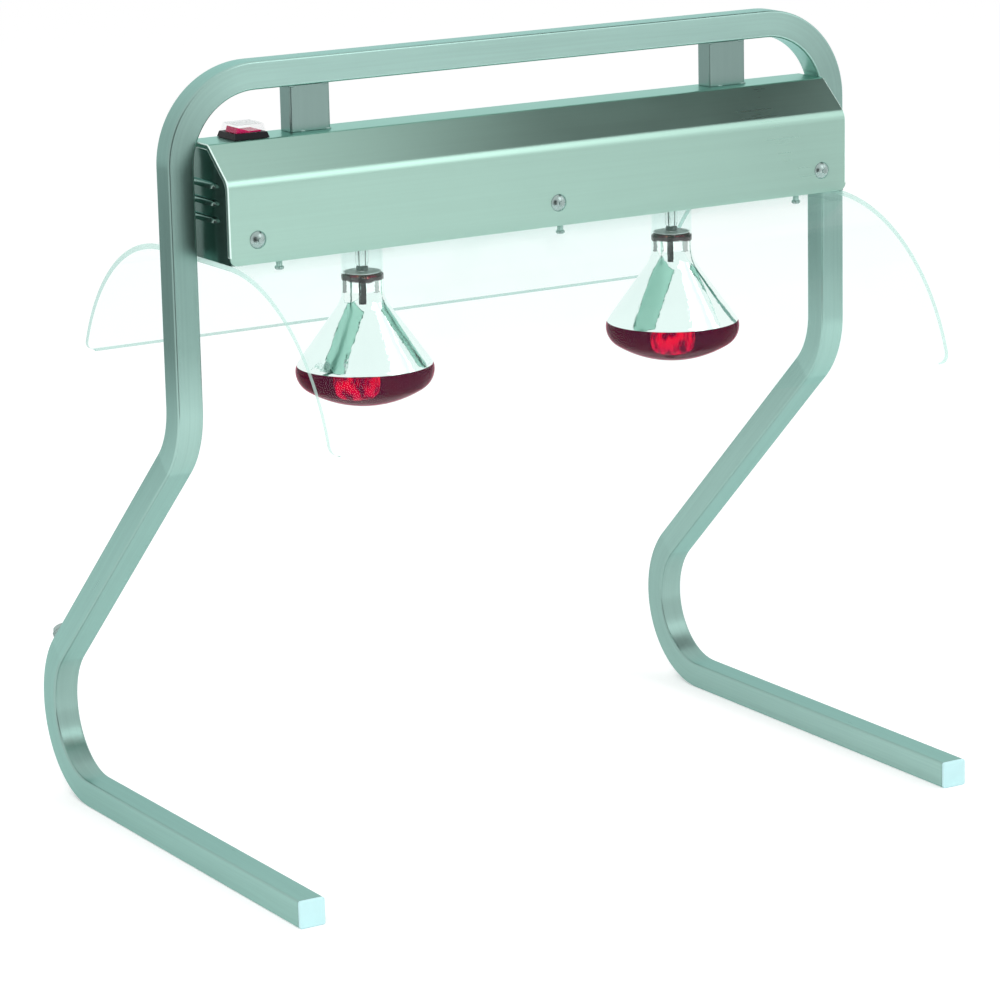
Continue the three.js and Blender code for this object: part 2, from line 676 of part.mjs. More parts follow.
function guard() {
  const centreZ = GUARD_TOP_Z - GUARD_RADIUS;
  const middle = LAMP_Y + GUARD_OFFSET;
  const [front, rear] = [middle - GUARD_FLAT / 2, middle + GUARD_FLAT / 2];
  const [frontZ, rearZ] = [SKIRT_Z - GUARD_FRONT_DROP, SKIRT_Z - GUARD_REAR_DROP];
  const frontAngle = Math.PI - Math.asin((frontZ - centreZ) / GUARD_RADIUS);
  const rearAngle = Math.asin((rearZ - centreZ) / GUARD_RADIUS);
  const inner = GUARD_RADIUS - GUARD_SHEET;
  const arch = new THREE.Shape();
  arch.absarc(rear, centreZ, GUARD_RADIUS, rearAngle, Math.PI / 2, false);
  arch.absarc(front, centreZ, GUARD_RADIUS, Math.PI / 2, frontAngle, false);
  arch.absarc(front, centreZ, inner, frontAngle, Math.PI / 2, true);
  arch.absarc(rear, centreZ, inner, Math.PI / 2, rearAngle, true);
  arch.closePath();
  const end = HOUSING_END - GUARD_INSET;
  const sheet = alongX(arch, -end, end, 9);
  const [z0, z1] = [GUARD_TOP_Z - GUARD_SHEET - 1, GUARD_TOP_Z + 1];
  const lampHoles = [-LAMP_X, LAMP_X].map((x) => disc(x, LAMP_Y, z0, z1, GUARD_HOLE, 24));
  const corners = [-1, 1].flatMap((side) => [
    guardCorner(side, frontZ, front - GUARD_RADIUS - 1, front),
    guardCorner(side, rearZ, rear, rear + GUARD_RADIUS + 1),
  ]);
  return cut(sheet, ...lampHoles, ...guardScrewHoles(z0, z1), ...corners);
}

function guardScrew([x, y]) {
  const under = GUARD_TOP_Z - GUARD_SHEET - GAP;
  const low = under - GUARD_SCREW_GRIP;
  const top = SKIRT_Z + SHEET + GUARD_SCREW_END_RISE;
  const profile = [
    [0, low],
    [GUARD_SCREW_HEAD * 0.8, low],
    [GUARD_SCREW_HEAD, low + GUARD_SCREW_GRIP * 0.24],
    [GUARD_SCREW_HEAD, under],
    [GUARD_SCREW_RADIUS, under],
    [GUARD_SCREW_RADIUS, top],
    [0, top],
  ];
  return turned(profile, x, y, 10);
}

// Bulbs and their holders

// Points on an arc about [r, z], from one angle to another
function arcPoints(r, z, radius, from, to, steps) {
  const points = [];
  for (let i = 0; i <= steps; i += 1) {
    const a = THREE.MathUtils.lerp(from, to, i / steps);
    points.push([r + radius * Math.cos(a), z + radius * Math.sin(a)]);
  }
  return points;
}

// Half outline of the glass from the middle of its face to the end of its neck, moved in by d;
// steps gives the divisions of the face, the two edge roundings, the blend and the shoulder
function bulbOutline(d, steps) {
  const [below, above, blend, shoulder] = [BULB_EDGE_BELOW, BULB_EDGE_ABOVE, BULB_NECK_BLEND, BULB_SHOULDER];
  const [down, faceEnd] = [-Math.PI / 2, BULB_FACE_EDGE - Math.PI / 2];
  const shoulderZ = CAP_RIM_Z - BULB_SHOULDER_DROP;
  // the blend's circle lies outside the glass and touches the cone and the neck
  const [sine, cosine] = [Math.sin(BULB_CONE), Math.cos(BULB_CONE)];
  const blendR = BULB_NECK_RADIUS + blend;
  const coneReach = (BULB_RADIUS - above) * cosine + BULB_WIDEST_Z * sine + above;
  const blendZ = (coneReach + blend - blendR * cosine) / sine;
  const throat = BULB_THROAT_RADIUS - d;
  const throatZ = CAP_RIM_Z - BULB_THROAT_DROP;
  return [
    ...arcPoints(0, BULB_BOTTOM_Z + BULB_FACE_RADIUS, BULB_FACE_RADIUS - d, down, faceEnd, steps[0]),
    ...arcPoints(BULB_RADIUS - below, BULB_WIDEST_Z, below - d, faceEnd, 0, steps[1]).slice(1),
    ...arcPoints(BULB_RADIUS - above, BULB_WIDEST_Z, above - d, 0, BULB_CONE, steps[2]).slice(1),
    ...arcPoints(blendR, blendZ, blend + d, Math.PI + BULB_CONE, Math.PI, steps[3]),
    ...arcPoints(BULB_NECK_RADIUS - shoulder, shoulderZ, shoulder - d, 0, Math.PI / 3, steps[4]),
    [throat, throatZ - BULB_THROAT_LENGTH],
    [throat, throatZ],
    [GLASS_SEAT - d, CAP_RIM_Z - BULB_SEAT_DROP],
    [GLASS_SEAT - d, GLASS_TOP_Z],
  ];
}

function bulbGlass(x) {
  const [outside, inside] = [bulbOutline(0, [4, 3, 2, 2, 2]), bulbOutline(GLASS_WALL, [2, 1, 1, 2, 1])];
  return turned([...outside, ...inside.reverse()], x, LAMP_Y, BULB_SIDES);
}

function bulbCap(x) {
  const [r, wall] = [CAP_RADIUS, CAP_WALL];
  const shoulder = BULB_TOP_Z - CAP_CONE;
  const points = [
    [r - wall, CAP_RIM_Z],
    [r, CAP_RIM_Z],
    [r, shoulder],
    [5.5, BULB_TOP_Z - 1.6],
    [4.6, BULB_TOP_Z],
    [0, BULB_TOP_Z],
    [0, shoulder - wall],
    [r - wall, shoulder - wall],
    [r - wall, CAP_RIM_Z],
  ];
  return turned(points, x, LAMP_Y, INNER_SIDES);
}

// Glass stem that carries the filament: a flare in the neck, a tube and a thinner stretch pinched flat
function bulbStem(x) {
  const flare = GLASS_SEAT - GLASS_WALL - GAP;
  const points = [
    [0, STEM_LOW_Z],
    [STEM_PINCH * 0.8, STEM_LOW_Z],
    [STEM_PINCH, STEM_LOW_Z + 2],
    [STEM_PINCH, SHIELD_Z + 3.5],
    [STEM_RADIUS, SHIELD_Z + 8.5],
    [STEM_RADIUS, CAP_RIM_Z - 5],
    [flare, GLASS_TOP_Z - 2],
    [flare, GLASS_TOP_Z],
    [0, GLASS_TOP_Z],
  ];
  return turned(points, x, LAMP_Y, 12);
}

// Thin mineral disc round the stem that keeps the heat off the cap
function bulbShield(x) {
  const bore = STEM_PINCH + GAP;
  const points = [
    [bore, SHIELD_Z],
    [SHIELD_RADIUS, SHIELD_Z],
    [SHIELD_RADIUS, SHIELD_Z + SHIELD_SHEET],
    [bore, SHIELD_Z + SHIELD_SHEET],
    [bore, SHIELD_Z],
  ];
  return turned(points, x, LAMP_Y, 12);
}

// Two lead wires below the stem and the open ring of the coil between them
function bulbFilament(x) {
  const top = STEM_LOW_Z - GAP;
  const level = BULB_WIDEST_Z + FILAMENT_RISE;
  const bendZ = top - FILAMENT_LEGS * 4; // the wires turn outwards here
  const opening = 0.35;
  const points = [];
  points.push(new THREE.Vector3(FILAMENT_LEGS, 0, top));
  points.push(new THREE.Vector3(FILAMENT_LEGS, 0, bendZ));
  for (let i = 0; i <= 10; i += 1) {
    const a = opening + (i / 10) * (2 * Math.PI - 2 * opening);
    points.push(new THREE.Vector3(FILAMENT_RING * Math.cos(a), FILAMENT_RING * Math.sin(a), level));
  }
  const far = new THREE.Vector2(-FILAMENT_LEGS / 4, -FILAMENT_LEGS * 0.8);
  points.push(new THREE.Vector3(far.x, far.y, bendZ));
  points.push(new THREE.Vector3(far.x, far.y, top));
  const curve = new THREE.CatmullRomCurve3(points, false, "centripetal");
  return wireAlong(curve, FILAMENT_WIRE, 22, 4).translate([x, LAMP_Y, 0]);
}

function wireAlong(curve, radius, steps, sides) {
  const shape = new THREE.Shape();
  for (let i = 0; i < sides; i += 1) {
    const a = (i / sides) * 2 * Math.PI;
    const [px, py] = [radius * Math.cos(a), radius * Math.sin(a)];
    if (i === 0) shape.moveTo(px, py);
    else shape.lineTo(px, py);
  }
  shape.closePath();
  return solid(new THREE.ExtrudeGeometry(shape, { steps, extrudePath: curve, bevelEnabled: false }));
}

// Ceramic body, open downwards
function holderBody(x) {
  const headZ = HOLDER_TOP_Z - HOLDER_HEAD_HEIGHT;
  const points = [
    [HOLDER_BORE, HOLDER_MOUTH_Z],
    [HOLDER_RADIUS - 1.5, HOLDER_MOUTH_Z],
    [HOLDER_RADIUS, HOLDER_MOUTH_Z + 1.5],
    [HOLDER_RADIUS, headZ - (HOLDER_HEAD - HOLDER_RADIUS)],
    [HOLDER_HEAD, headZ],
    [HOLDER_HEAD, HOLDER_TOP_Z],
    [0, HOLDER_TOP_Z],
    [0, HOLDER_FLOOR_Z],
    [HOLDER_BORE, HOLDER_FLOOR_Z],
    [HOLDER_BORE, HOLDER_MOUTH_Z],
  ];
  const body = turned(points, x, LAMP_Y, INNER_SIDES);
  // one clamp recess on each side for the leads
  const top = HOLDER_TOP_Z - CLAMP_TOP;
  const recess = (side) => {
    const [middle, half] = [x + side * CLAMP_X, CLAMP_WIDTH / 2];
    const [y0, y1] = [LAMP_Y - HOLDER_HEAD - 1, LAMP_Y - CLAMP_FLOOR_Y];
    return box(middle - half, middle + half, y0, y1, top - CLAMP_HEIGHT, top);
  };
  return cut(body, recess(-1), recess(1));
}

function holderSleeve(x) {
  const outer = HOLDER_BORE - GAP;
  const inner = outer - SLEEVE_WALL;
  const [z0, z1] = [HOLDER_MOUTH_Z + 2, BULB_TOP_Z - CAP_CONE + 1];
  const points = [
    [inner, z0],
    [outer, z0],
    [outer, z1],
    [inner, z1],
    [inner, z0],
  ];
  return turned(points, x, LAMP_Y, INNER_SIDES);
}

// Spring strip that presses on the bulb's centre contact
function holderContact(x) {
  const [low, high] = [BULB_TOP_Z + GAP, HOLDER_FLOOR_Z - GAP];
  const [strip, half] = [CONTACT_STRIP, CONTACT_WIDTH / 2];
  const shape = bentSheet(
    [
      [x - HOLDER_BORE * 0.32, low + strip],
      [x + HOLDER_BORE * 0.13, low + strip],
      [x + HOLDER_BORE * 0.58, high],
      [x + HOLDER_BORE * 0.83, high],
    ].map(([px, pz]) => new THREE.Vector2(px, pz)),
    [0, 0, 0, 0],
    strip,
  );
  return alongY(shape, LAMP_Y - half, LAMP_Y + half);
}

// Bridge of bent strip over the tray hole; the holder hangs from its top
function holderBracket(x) {
  const [strip, half, foot] = [BRACKET_STRIP, BRACKET_HALF, BRACKET_FOOT];
  const [floor, top] = [SKIRT_Z + SHEET + GAP, HOLDER_TOP_Z + GAP];
  const outer = [
    [LAMP_Y + half + foot, floor + strip],
    [LAMP_Y + half, floor + strip],
    [LAMP_Y + half, top + strip],
    [LAMP_Y - half, top + strip],
    [LAMP_Y - half, floor + strip],
    [LAMP_Y - half - foot, floor + strip],
  ].map(([y, z]) => new THREE.Vector2(y, z));
  const shape = bentSheet(outer.reverse(), [0, 1, 3, 3, 1, 0], strip);
  return alongX(shape, x - BRACKET_WIDTH / 2, x + BRACKET_WIDTH / 2, 1);
}

// Switch

const PIVOT_Z = TOP_Z + GAP + BEZEL_HEIGHT - PIVOT_SINK;

function switchBody() {
  const [x, y] = [SWITCH_X, LAMP_Y];
  const [bezel, body] = [SWITCH_BEZEL / 2, SWITCH_BODY / 2];
  const [base, top] = [TOP_Z + GAP, TOP_Z + GAP + BEZEL_HEIGHT];
  const frame = new THREE.CylinderGeometry(
    (bezel - BEZEL_RIM) * Math.SQRT2, bezel * Math.SQRT2, BEZEL_HEIGHT, 4, 1, false, Math.PI / 4,
  );
  frame.rotateX(Math.PI / 2);
  frame.translate(x, y, base + BEZEL_HEIGHT / 2);
  const well = ROCKER_HALF + 2;
  const side = ROCKER_WIDTH / 2 + 2 * GAP;
  const low = base - SWITCH_DEPTH;
  const [thick, wide] = [BLADE_THICKNESS / 2, BLADE_WIDTH / 2];
  const blade = (bx, by) => box(bx - thick, bx + thick, by - wide, by + wide, low - BLADE_LENGTH, low + 1);
  const blades = [-BLADE_X, BLADE_X].flatMap((dx) => [-BLADE_Y, BLADE_Y].map((dy) => blade(x + dx, y + dy)));
  const seat = side + PIN_LENGTH + 0.1;
  return cut(
    join(solid(frame), box(x - body, x + body, y - body, y + body, low, base + 1), ...blades),
    box(x - well, x + well, y - side, y + side, base - SWITCH_WELL, top + 1),
    rodAlongY(x, y - seat, y + seat, PIVOT_Z, PIN_RADIUS + GAP),
  );
}

function switchRocker() {
  const [r, half] = [ROCKER_HALF, ROCKER_WIDTH / 2];
  const outline = [
    [-r, ROCKER_RISE],
    [0, ROCKER_DIP],
    [r, ROCKER_RISE],
    [r * 1.07, 0],
    [r * 0.7, -ROCKER_DEPTH],
    [-r * 0.7, -ROCKER_DEPTH],
    [-r * 1.07, 0],
  ].map(([px, pz]) => new THREE.Vector2(px, pz));
  const paddle = alongY(new THREE.Shape(outline.reverse()), -half, half);
  const pins = rodAlongY(0, -half - PIN_LENGTH, half + PIN_LENGTH, 0, PIN_RADIUS);
  const tilt = THREE.MathUtils.radToDeg(ROCKER_TILT);
  return join(paddle, pins).rotate([0, tilt, 0]).translate([SWITCH_X, LAMP_Y, PIVOT_Z]);
}

// Four-sided clear cover, wide at the foot, with a flat top
function switchCover() {
  const base = TOP_Z + GAP + BEZEL_HEIGHT + GAP;
  const shellOf = (d, z0, z1) => {
    const [top, foot] = [COVER_TOP / 2 - d, COVER_FOOT / 2 - d];
    const geometry = new THREE.CylinderGeometry(
      top * Math.SQRT2, foot * Math.SQRT2, z1 - z0, 4, 1, false, Math.PI / 4,
    );
    geometry.rotateX(Math.PI / 2);
    geometry.translate(SWITCH_X, LAMP_Y, (z0 + z1) / 2);
    return solid(geometry);
  };
  return cut(
    shellOf(0, base, base + COVER_HEIGHT),
    shellOf(COVER_WALL, base - 0.5, base + COVER_HEIGHT - COVER_WALL),
  );
}

// Wiring

const POLES = [-1.5, -0.5, 0.5, 1.5].map((step) => step * POLE_PITCH);
const BLOCK_HALF = 2 * POLE_PITCH;
const BLOCK_Z = SKIRT_Z + SHEET + GAP;
const BLOCK_WIRE_Z = BLOCK_Z + BLOCK_BORE_Z;

// Four-pole block: wire holes from both sides, screw wells from above
function terminalBlock() {
  const [half, top] = [BLOCK_DEPTH / 2, BLOCK_Z + BLOCK_HEIGHT];
  const body = box(-BLOCK_HALF, BLOCK_HALF, LAMP_Y - half, LAMP_Y + half, BLOCK_Z, top);
  const waists = [-POLE_PITCH, 0, POLE_PITCH].map((x) =>
    box(x - 1, x + 1, LAMP_Y - half - 1, LAMP_Y + half + 1, BLOCK_Z + BLOCK_HEIGHT * 0.27, top + 1),
  );
  const wires = POLES.map((x) =>
    rodAlongY(x, LAMP_Y - half - 1, LAMP_Y + half + 1, BLOCK_WIRE_Z, BLOCK_BORE, 8),
  );
  const wells = POLES.map((x) =>
    disc(x, LAMP_Y, BLOCK_WIRE_Z + BLOCK_BORE + 0.5, top + 1, WELL_RADIUS, 8),
  );
  return cut(body, ...waists, ...wires, ...wells);
}

function lead(points) {
  const curve = new THREE.CatmullRomCurve3(
    points.map((p) => new THREE.Vector3(...p)),
    false,
    "centripetal",
  );
  return wireAlong(curve, LEAD_RADIUS, 12, 5);
}

// From a pole of the block to a clamp recess of a holder
function holderLead(pole, side, recess) {
  const start = LAMP_Y - BLOCK_DEPTH / 2 - GAP;
  const x = side * LAMP_X + recess * CLAMP_X;
  const clampY = LAMP_Y - CLAMP_FLOOR_Y - LEAD_RADIUS;
  const clampZ = HOLDER_TOP_Z - CLAMP_TOP - CLAMP_HEIGHT / 2;
  // one lead passes between the bridge and the skirt, the other between the bridge and the holder
  const outside = FRONT_Y + (BRACKET_INSET - BRACKET_FOOT);
  const inside = LAMP_Y - (HOLDER_HEAD + BRACKET_HALF - BRACKET_STRIP) / 2;
  const run = recess * side > 0 ? outside : inside;
  const along = (part) => THREE.MathUtils.lerp(pole, x, part);
  return lead([
    [pole, start, BLOCK_WIRE_Z],
    [pole, start - POLE_PITCH, BLOCK_WIRE_Z],
    [along(0.2), run, BLOCK_WIRE_Z + 2],
    [along(0.5), run, BLOCK_WIRE_Z + 8],
    [x, run, clampZ - 14],
    [x, clampY - 9, clampZ],
    [x, clampY, clampZ],
  ]);
}

// From the block's rear side to a blade of the switch; the two leads run side by side
function switchLead(pole, dx, dy) {
  const rear = LAMP_Y + BLOCK_DEPTH / 2 + GAP;
  const run = REAR_Y - 11 - dx / 2;
  const x = SWITCH_X + dx;
  const blade = TOP_Z - SWITCH_DEPTH - BLADE_LENGTH;
  const along = (part) => THREE.MathUtils.lerp(pole, x, part);
  return lead([
    [pole, rear, BLOCK_WIRE_Z],
    [pole, rear + 12 - dx, BLOCK_WIRE_Z],
    [along(0.2), run, BLOCK_WIRE_Z],
    [along(0.5), run, BLOCK_WIRE_Z + 2],
    [along(0.84), run - 4, BLOCK_WIRE_Z + 10],
    [x, LAMP_Y + dy + 6, blade - 22],
    [x, LAMP_Y + dy, blade],
  ]);
}

// Cable gland at the rear of the left leg

function glandBody() {
  const low = -TUBE_WALL - GLAND_REACH;
  const points = [
    [GLAND_BORE, low],
    [GLAND_THREAD, low],
    [GLAND_THREAD, GAP],
    [GLAND_GRIP - 0.5, GAP],
    [GLAND_GRIP, GAP + 0.7],
    [GLAND_GRIP, GLAND_HEIGHT * 0.57],
    [GLAND_GRIP * 0.86, GLAND_HEIGHT - 1.2],
    [GLAND_GRIP * 0.66, GLAND_HEIGHT],
    [GLAND_BORE, GLAND_HEIGHT],
    [GLAND_BORE, low],
  ];
  return onGlandSeat(turned(points, 0, 0, 16));
}

function glandNut() {
  // the tube's wall starts to bend here, so the nut sits a little lower than a flat wall would let it
  const top = -TUBE_WALL - 3 * GAP;
  const low = top - NUT_HEIGHT;
  const bore = disc(0, 0, low - 1, top + 1, GLAND_THREAD + GAP, 12);
  return onGlandSeat(cut(disc(0, 0, low, top, NUT_RADIUS, 6), bore));
}

// Materials and the finished group

const material = (color, roughness, metalness, opacity = 1) =>
  new THREE.MeshStandardMaterial({ color, roughness, metalness, opacity, transparent: opacity < 1 });

const STEEL = material(0xb9c7c4, 0.34, 1);
const BRIGHT = material(0xc9d2d2, 0.2, 1);
const BLACK = material(0x17181a, 0.45, 0);
const CERAMIC = material(0xece8df, 0.35, 0);
const BRASS = material(0xc8a552, 0.3, 1);
const CLEAR = material(0xe6f4f2, 0.05, 0, 0.3);

const group = new THREE.Group();
group.name = "food_heat_lamp";

function add(name, body, look) {
  const mesh = new THREE.Mesh(geometryOf(body), look.clone());
  mesh.name = name;
  group.add(mesh);
}

const SIDES = [["left", -1], ["right", 1]];
const THIRDS = ["left", "middle", "right"];

add("stand_tube", standTube(), STEEL);
add("housing_shell", housingShell(), STEEL);
add("lamp_tray", lampTray(), STEEL);
add("guard", guard(), CLEAR);

for (const [name, side] of SIDES) {
  const x = side * LAMP_X;
  add(`foot_cap_${name}`, footCap(side * LEG_X), material(0xdfe9e8, 0.4, 0));
  add(`post_${name}`, post(side < 0 ? LEFT_POST_X : RIGHT_POST_X), STEEL);
  add(`end_plate_${name}`, endPlate(side), STEEL);
  add(`holder_bracket_${name}`, holderBracket(x), BRIGHT);
  add(`holder_body_${name}`, holderBody(x), CERAMIC);
  add(`holder_sleeve_${name}`, holderSleeve(x), BRASS);
  add(`holder_contact_${name}`, holderContact(x), BRASS);
  add(`bulb_glass_${name}`, bulbGlass(x), material(0x8a1020, 0.08, 0.2));
  add(`bulb_cap_${name}`, bulbCap(x), BRIGHT);
  add(`bulb_stem_${name}`, bulbStem(x), CLEAR);
  add(`bulb_shield_${name}`, bulbShield(x), material(0xc9d2c8, 0.4, 0, 0.6));
  add(`bulb_filament_${name}`, bulbFilament(x), material(0xff8a50, 0.5, 0));
}

SKIRT_SCREW_X.forEach((x, i) => {
  add(`front_screw_${THIRDS[i]}`, skirtScrew(x, -1), BRIGHT);
  add(`rear_screw_${THIRDS[i]}`, skirtScrew(x, 1), BRIGHT);
});

guardScrewPlaces().forEach((place, i) => {
  add(`guard_screw_${i < 3 ? "front" : "rear"}_${THIRDS[i % 3]}`, guardScrew(place), BRIGHT);
});

add("switch_body", switchBody(), BLACK);
add("switch_rocker", switchRocker(), material(0xd81848, 0.25, 0));
add("switch_cover", switchCover(), CLEAR);
add("terminal_block", terminalBlock(), CERAMIC);
add("lead_left_live", holderLead(POLES[1], -1, -1), material(0x7a3b1e, 0.5, 0));
add("lead_left_neutral", holderLead(POLES[0], -1, 1), material(0x2a55b0, 0.5, 0));
add("lead_right_live", holderLead(POLES[2], 1, 1), material(0x7a3b1e, 0.5, 0));
add("lead_right_neutral", holderLead(POLES[3], 1, -1), material(0x2a55b0, 0.5, 0));
add("lead_switch_live", switchLead(POLES[1], -BLADE_X, BLADE_Y), material(0x7a3b1e, 0.5, 0));
add("lead_switch_neutral", switchLead(POLES[0], BLADE_X, BLADE_Y), material(0x2a55b0, 0.5, 0));
add("cable_gland", glandBody(), BRIGHT);
add("gland_nut", glandNut(), BRIGHT);

// The origin is the floor point under the middle of the whole lamp
const extent = new THREE.Box3().setFromObject(group);
group.position.y = -(extent.min.y + extent.max.y) / 2;

export default group;
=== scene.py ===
import json
import math
from contextlib import contextmanager

import bmesh
import bpy
from mathutils import Matrix, Vector


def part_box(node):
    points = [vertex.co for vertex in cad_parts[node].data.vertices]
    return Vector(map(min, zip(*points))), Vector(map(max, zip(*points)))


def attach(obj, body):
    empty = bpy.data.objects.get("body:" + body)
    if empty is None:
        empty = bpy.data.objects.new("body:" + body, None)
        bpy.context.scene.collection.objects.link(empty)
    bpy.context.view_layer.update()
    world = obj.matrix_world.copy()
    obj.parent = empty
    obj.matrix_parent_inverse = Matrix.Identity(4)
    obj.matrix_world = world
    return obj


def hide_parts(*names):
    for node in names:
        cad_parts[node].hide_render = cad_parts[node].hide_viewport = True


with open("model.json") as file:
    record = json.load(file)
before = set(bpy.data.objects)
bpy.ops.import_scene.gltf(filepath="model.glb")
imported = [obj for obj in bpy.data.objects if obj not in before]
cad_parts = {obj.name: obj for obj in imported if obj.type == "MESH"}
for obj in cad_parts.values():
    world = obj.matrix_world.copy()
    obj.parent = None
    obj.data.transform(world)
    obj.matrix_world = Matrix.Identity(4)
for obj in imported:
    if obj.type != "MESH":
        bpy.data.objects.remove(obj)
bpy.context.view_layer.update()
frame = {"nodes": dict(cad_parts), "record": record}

MM = 0.001
SLACK = 0.1 * MM  # allowed when a place is tested
GAP = 0.3 * MM  # air between pieces that touch
ALIGNED = 0.9  # share of a normal that counts as lying along an axis
WHITE = (1.0, 1.0, 1.0)
X_AXIS = Vector((1, 0, 0))
Y_AXIS = Vector((0, 1, 0))
Z_AXIS = Vector((0, 0, 1))

bpy.ops.object.select_all(action="DESELECT")

# Sizes that the frame gives
STAND_LOW, STAND_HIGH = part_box("stand_tube")
POST_LOW, POST_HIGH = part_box("post_left")
SHELL_LOW, SHELL_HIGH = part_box("housing_shell")
GUARD_LOW, GUARD_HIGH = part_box("guard")
BULB_LOW, BULB_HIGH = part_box("bulb_glass_left")
CAP_LOW, CAP_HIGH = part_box("foot_cap_left")

# Stand
TUBE = 25 * MM
HALF_TUBE = TUBE / 2
TUBE_WALL = 1.5 * MM
TUBE_EDGE = 2.2 * MM
BEND = 75 * MM  # centreline of every bend
LEAN = math.radians(47)  # slanting stretch, from upright
LEG_X = STAND_HIGH.x - HALF_TUBE
LEG_Y = (POST_LOW.y + POST_HIGH.y) / 2
TOP_BEND_Z = STAND_HIGH.z - HALF_TUBE - BEND
REAR_BEND_Y = STAND_HIGH.y - HALF_TUBE - BEND
REAR_BEND_Z = HALF_TUBE + BEND
REAR_TURN = math.pi / 2 + LEAN
REAR_CENTRE = Vector((-LEG_X, REAR_BEND_Y, REAR_BEND_Z))
AHEAD = Vector((0, math.cos(REAR_TURN), math.sin(REAR_TURN)))  # up the slanting stretch
INWARDS = Vector((0, -AHEAD.z, AHEAD.y))  # and across it, to the rear bend's centre
SLANT = (REAR_BEND_Y - LEG_Y + BEND * math.cos(LEAN)) / math.sin(LEAN) - BEND * math.tan(LEAN / 2)
KNEE_CENTRE = REAR_CENTRE - 2 * BEND * INWARDS + SLANT * AHEAD

# Housing
LAMP_Y = (SHELL_LOW.y + SHELL_HIGH.y) / 2
SHEET = 1.2 * MM
FLAT = 40 * MM  # width of the flat top
SHOULDER_Z = SHELL_HIGH.z - 30 * MM
END_LIP = 5 * MM
SHOULDER_RADIUS = 12 * MM
TOP_RADIUS = 4 * MM
SKIRT_CORNER = 7 * MM
HIGHLIGHT_FOLD_EDGE = 0.9 * MM  # rounding of the edge round each end of the housing, which carries a painted highlight

# Guard
GUARD_SHEET = 5 * MM
GUARD_FLAT = 124.6 * MM
GUARD_RADIUS = 181 * MM  # outside
GUARD_REAR_RISE = 14.6 * MM  # the rear edge ends this much above the front one
GUARD_CORNER = 9 * MM  # rounding of its lower corners
GUARD_HOLE = 30 * MM  # radius, over each bulb
GUARD_Y = LAMP_Y + 18 * MM
GUARD_FRONT_Y = GUARD_Y - GUARD_FLAT / 2
GUARD_REAR_Y = GUARD_Y + GUARD_FLAT / 2
GUARD_CENTRE_Z = GUARD_HIGH.z - GUARD_RADIUS

# Bulbs
BULB_X = (BULB_LOW.x + BULB_HIGH.x) / 2
TO_RIGHT_BULB = Matrix.Translation((-2 * BULB_X, 0, 0))
BULB_RADIUS = (BULB_HIGH.x - BULB_LOW.x) / 2
GLASS_WALL = 1 * MM
FACE_RADIUS = 101 * MM
EDGE_BELOW = 19 * MM  # rounding from the face to the widest ring
EDGE_ABOVE = 14 * MM  # and from there to the cone
CONE = 36  # slope of the cone from upright, in degrees
NECK_RADIUS = 19 * MM
NECK_BLEND = 29 * MM
SHOULDER = 8 * MM
THROAT_RADIUS = 13.3 * MM
# heights over the bottom of the face
MIRROR_EDGE = 37 * MM
NECK_START = 100 * MM
SHOULDER_RISE = 139 * MM
THROAT_RISE = 147.7 * MM
SEAT_RISE = 151 * MM


# Modelling


def only(piece):
    bpy.ops.object.select_all(action="DESELECT")
    piece.select_set(True)
    bpy.context.view_layer.objects.active = piece


@contextmanager
def editing(piece):
    only(piece)
    bpy.ops.object.mode_set(mode="EDIT")
    yield
    bpy.ops.object.mode_set(mode="OBJECT")


def apply_place():
    bpy.ops.object.transform_apply(location=True, rotation=True, scale=True)


def primitive(name, kind, **how):
    bpy.ops.object.select_all(action="DESELECT")
    getattr(bpy.ops.mesh, f"primitive_{kind}_add")(**how)
    piece = bpy.context.object
    piece.name = piece.data.name = name
    return piece


def block(name, low, high):
    middle, size = (Vector(low) + Vector(high)) / 2, Vector(high) - Vector(low)
    piece = primitive(name, "cube", size=1, location=middle)
    piece.scale = size
    apply_place()
    return piece


def pick(kind, test):
    """Selects what passes a test of the item and its middle."""
    bpy.ops.mesh.select_mode(type=kind)
    bpy.ops.mesh.select_all(action="DESELECT")
    mesh = bpy.context.object.data
    edit = bmesh.from_edit_mesh(mesh)
    edit.normal_update()
    for item in {"VERT": edit.verts, "EDGE": edit.edges, "FACE": edit.faces}[kind]:
        points = [item.co] if kind == "VERT" else [corner.co for corner in item.verts]
        if test(item, sum(points, Vector()) / len(points)):
            item.select_set(True)
    edit.select_flush_mode()
    bmesh.update_edit_mesh(mesh)


def select_everything():
    bpy.ops.mesh.select_all(action="SELECT")


def bevel(width, segments, **how):
    bpy.ops.mesh.bevel(offset=width, segments=segments, **how)


def runs_along(edge, axis):
    """Whether an edge leads more than a millimetre along an axis."""
    first, last = edge.verts
    return abs((first.co - last.co).dot(axis)) > 1 * MM


def extrude(step):
    """Pulls what is selected out by a step."""
    bpy.ops.mesh.extrude_region_move(TRANSFORM_OT_translate={"value": step})


def turn(angle, centre, axis, steps):
    """Sweeps what is selected round an axis."""
    bpy.ops.mesh.spin(steps=steps, angle=-angle, center=centre, axis=axis, use_auto_merge=False)


def tidy_mesh(reach=1e-6):
    select_everything()
    bpy.ops.mesh.remove_doubles(threshold=reach)
    bpy.ops.mesh.normals_make_consistent(inside=False)


def finish_with(piece, kind, **settings):
    only(piece)
    modifier = piece.modifiers.new(kind.title(), kind)
    for name, value in settings.items():
        setattr(modifier, name, value)
    bpy.ops.object.modifier_apply(modifier=modifier.name)


def soften(piece, width, segments=3, angle=30):
    """Rounds the sharp edges."""
    finish_with(
        piece, "BEVEL", width=width, segments=segments, limit_method="ANGLE",
        angle_limit=math.radians(angle), use_clamp_overlap=True, harden_normals=False,
    )


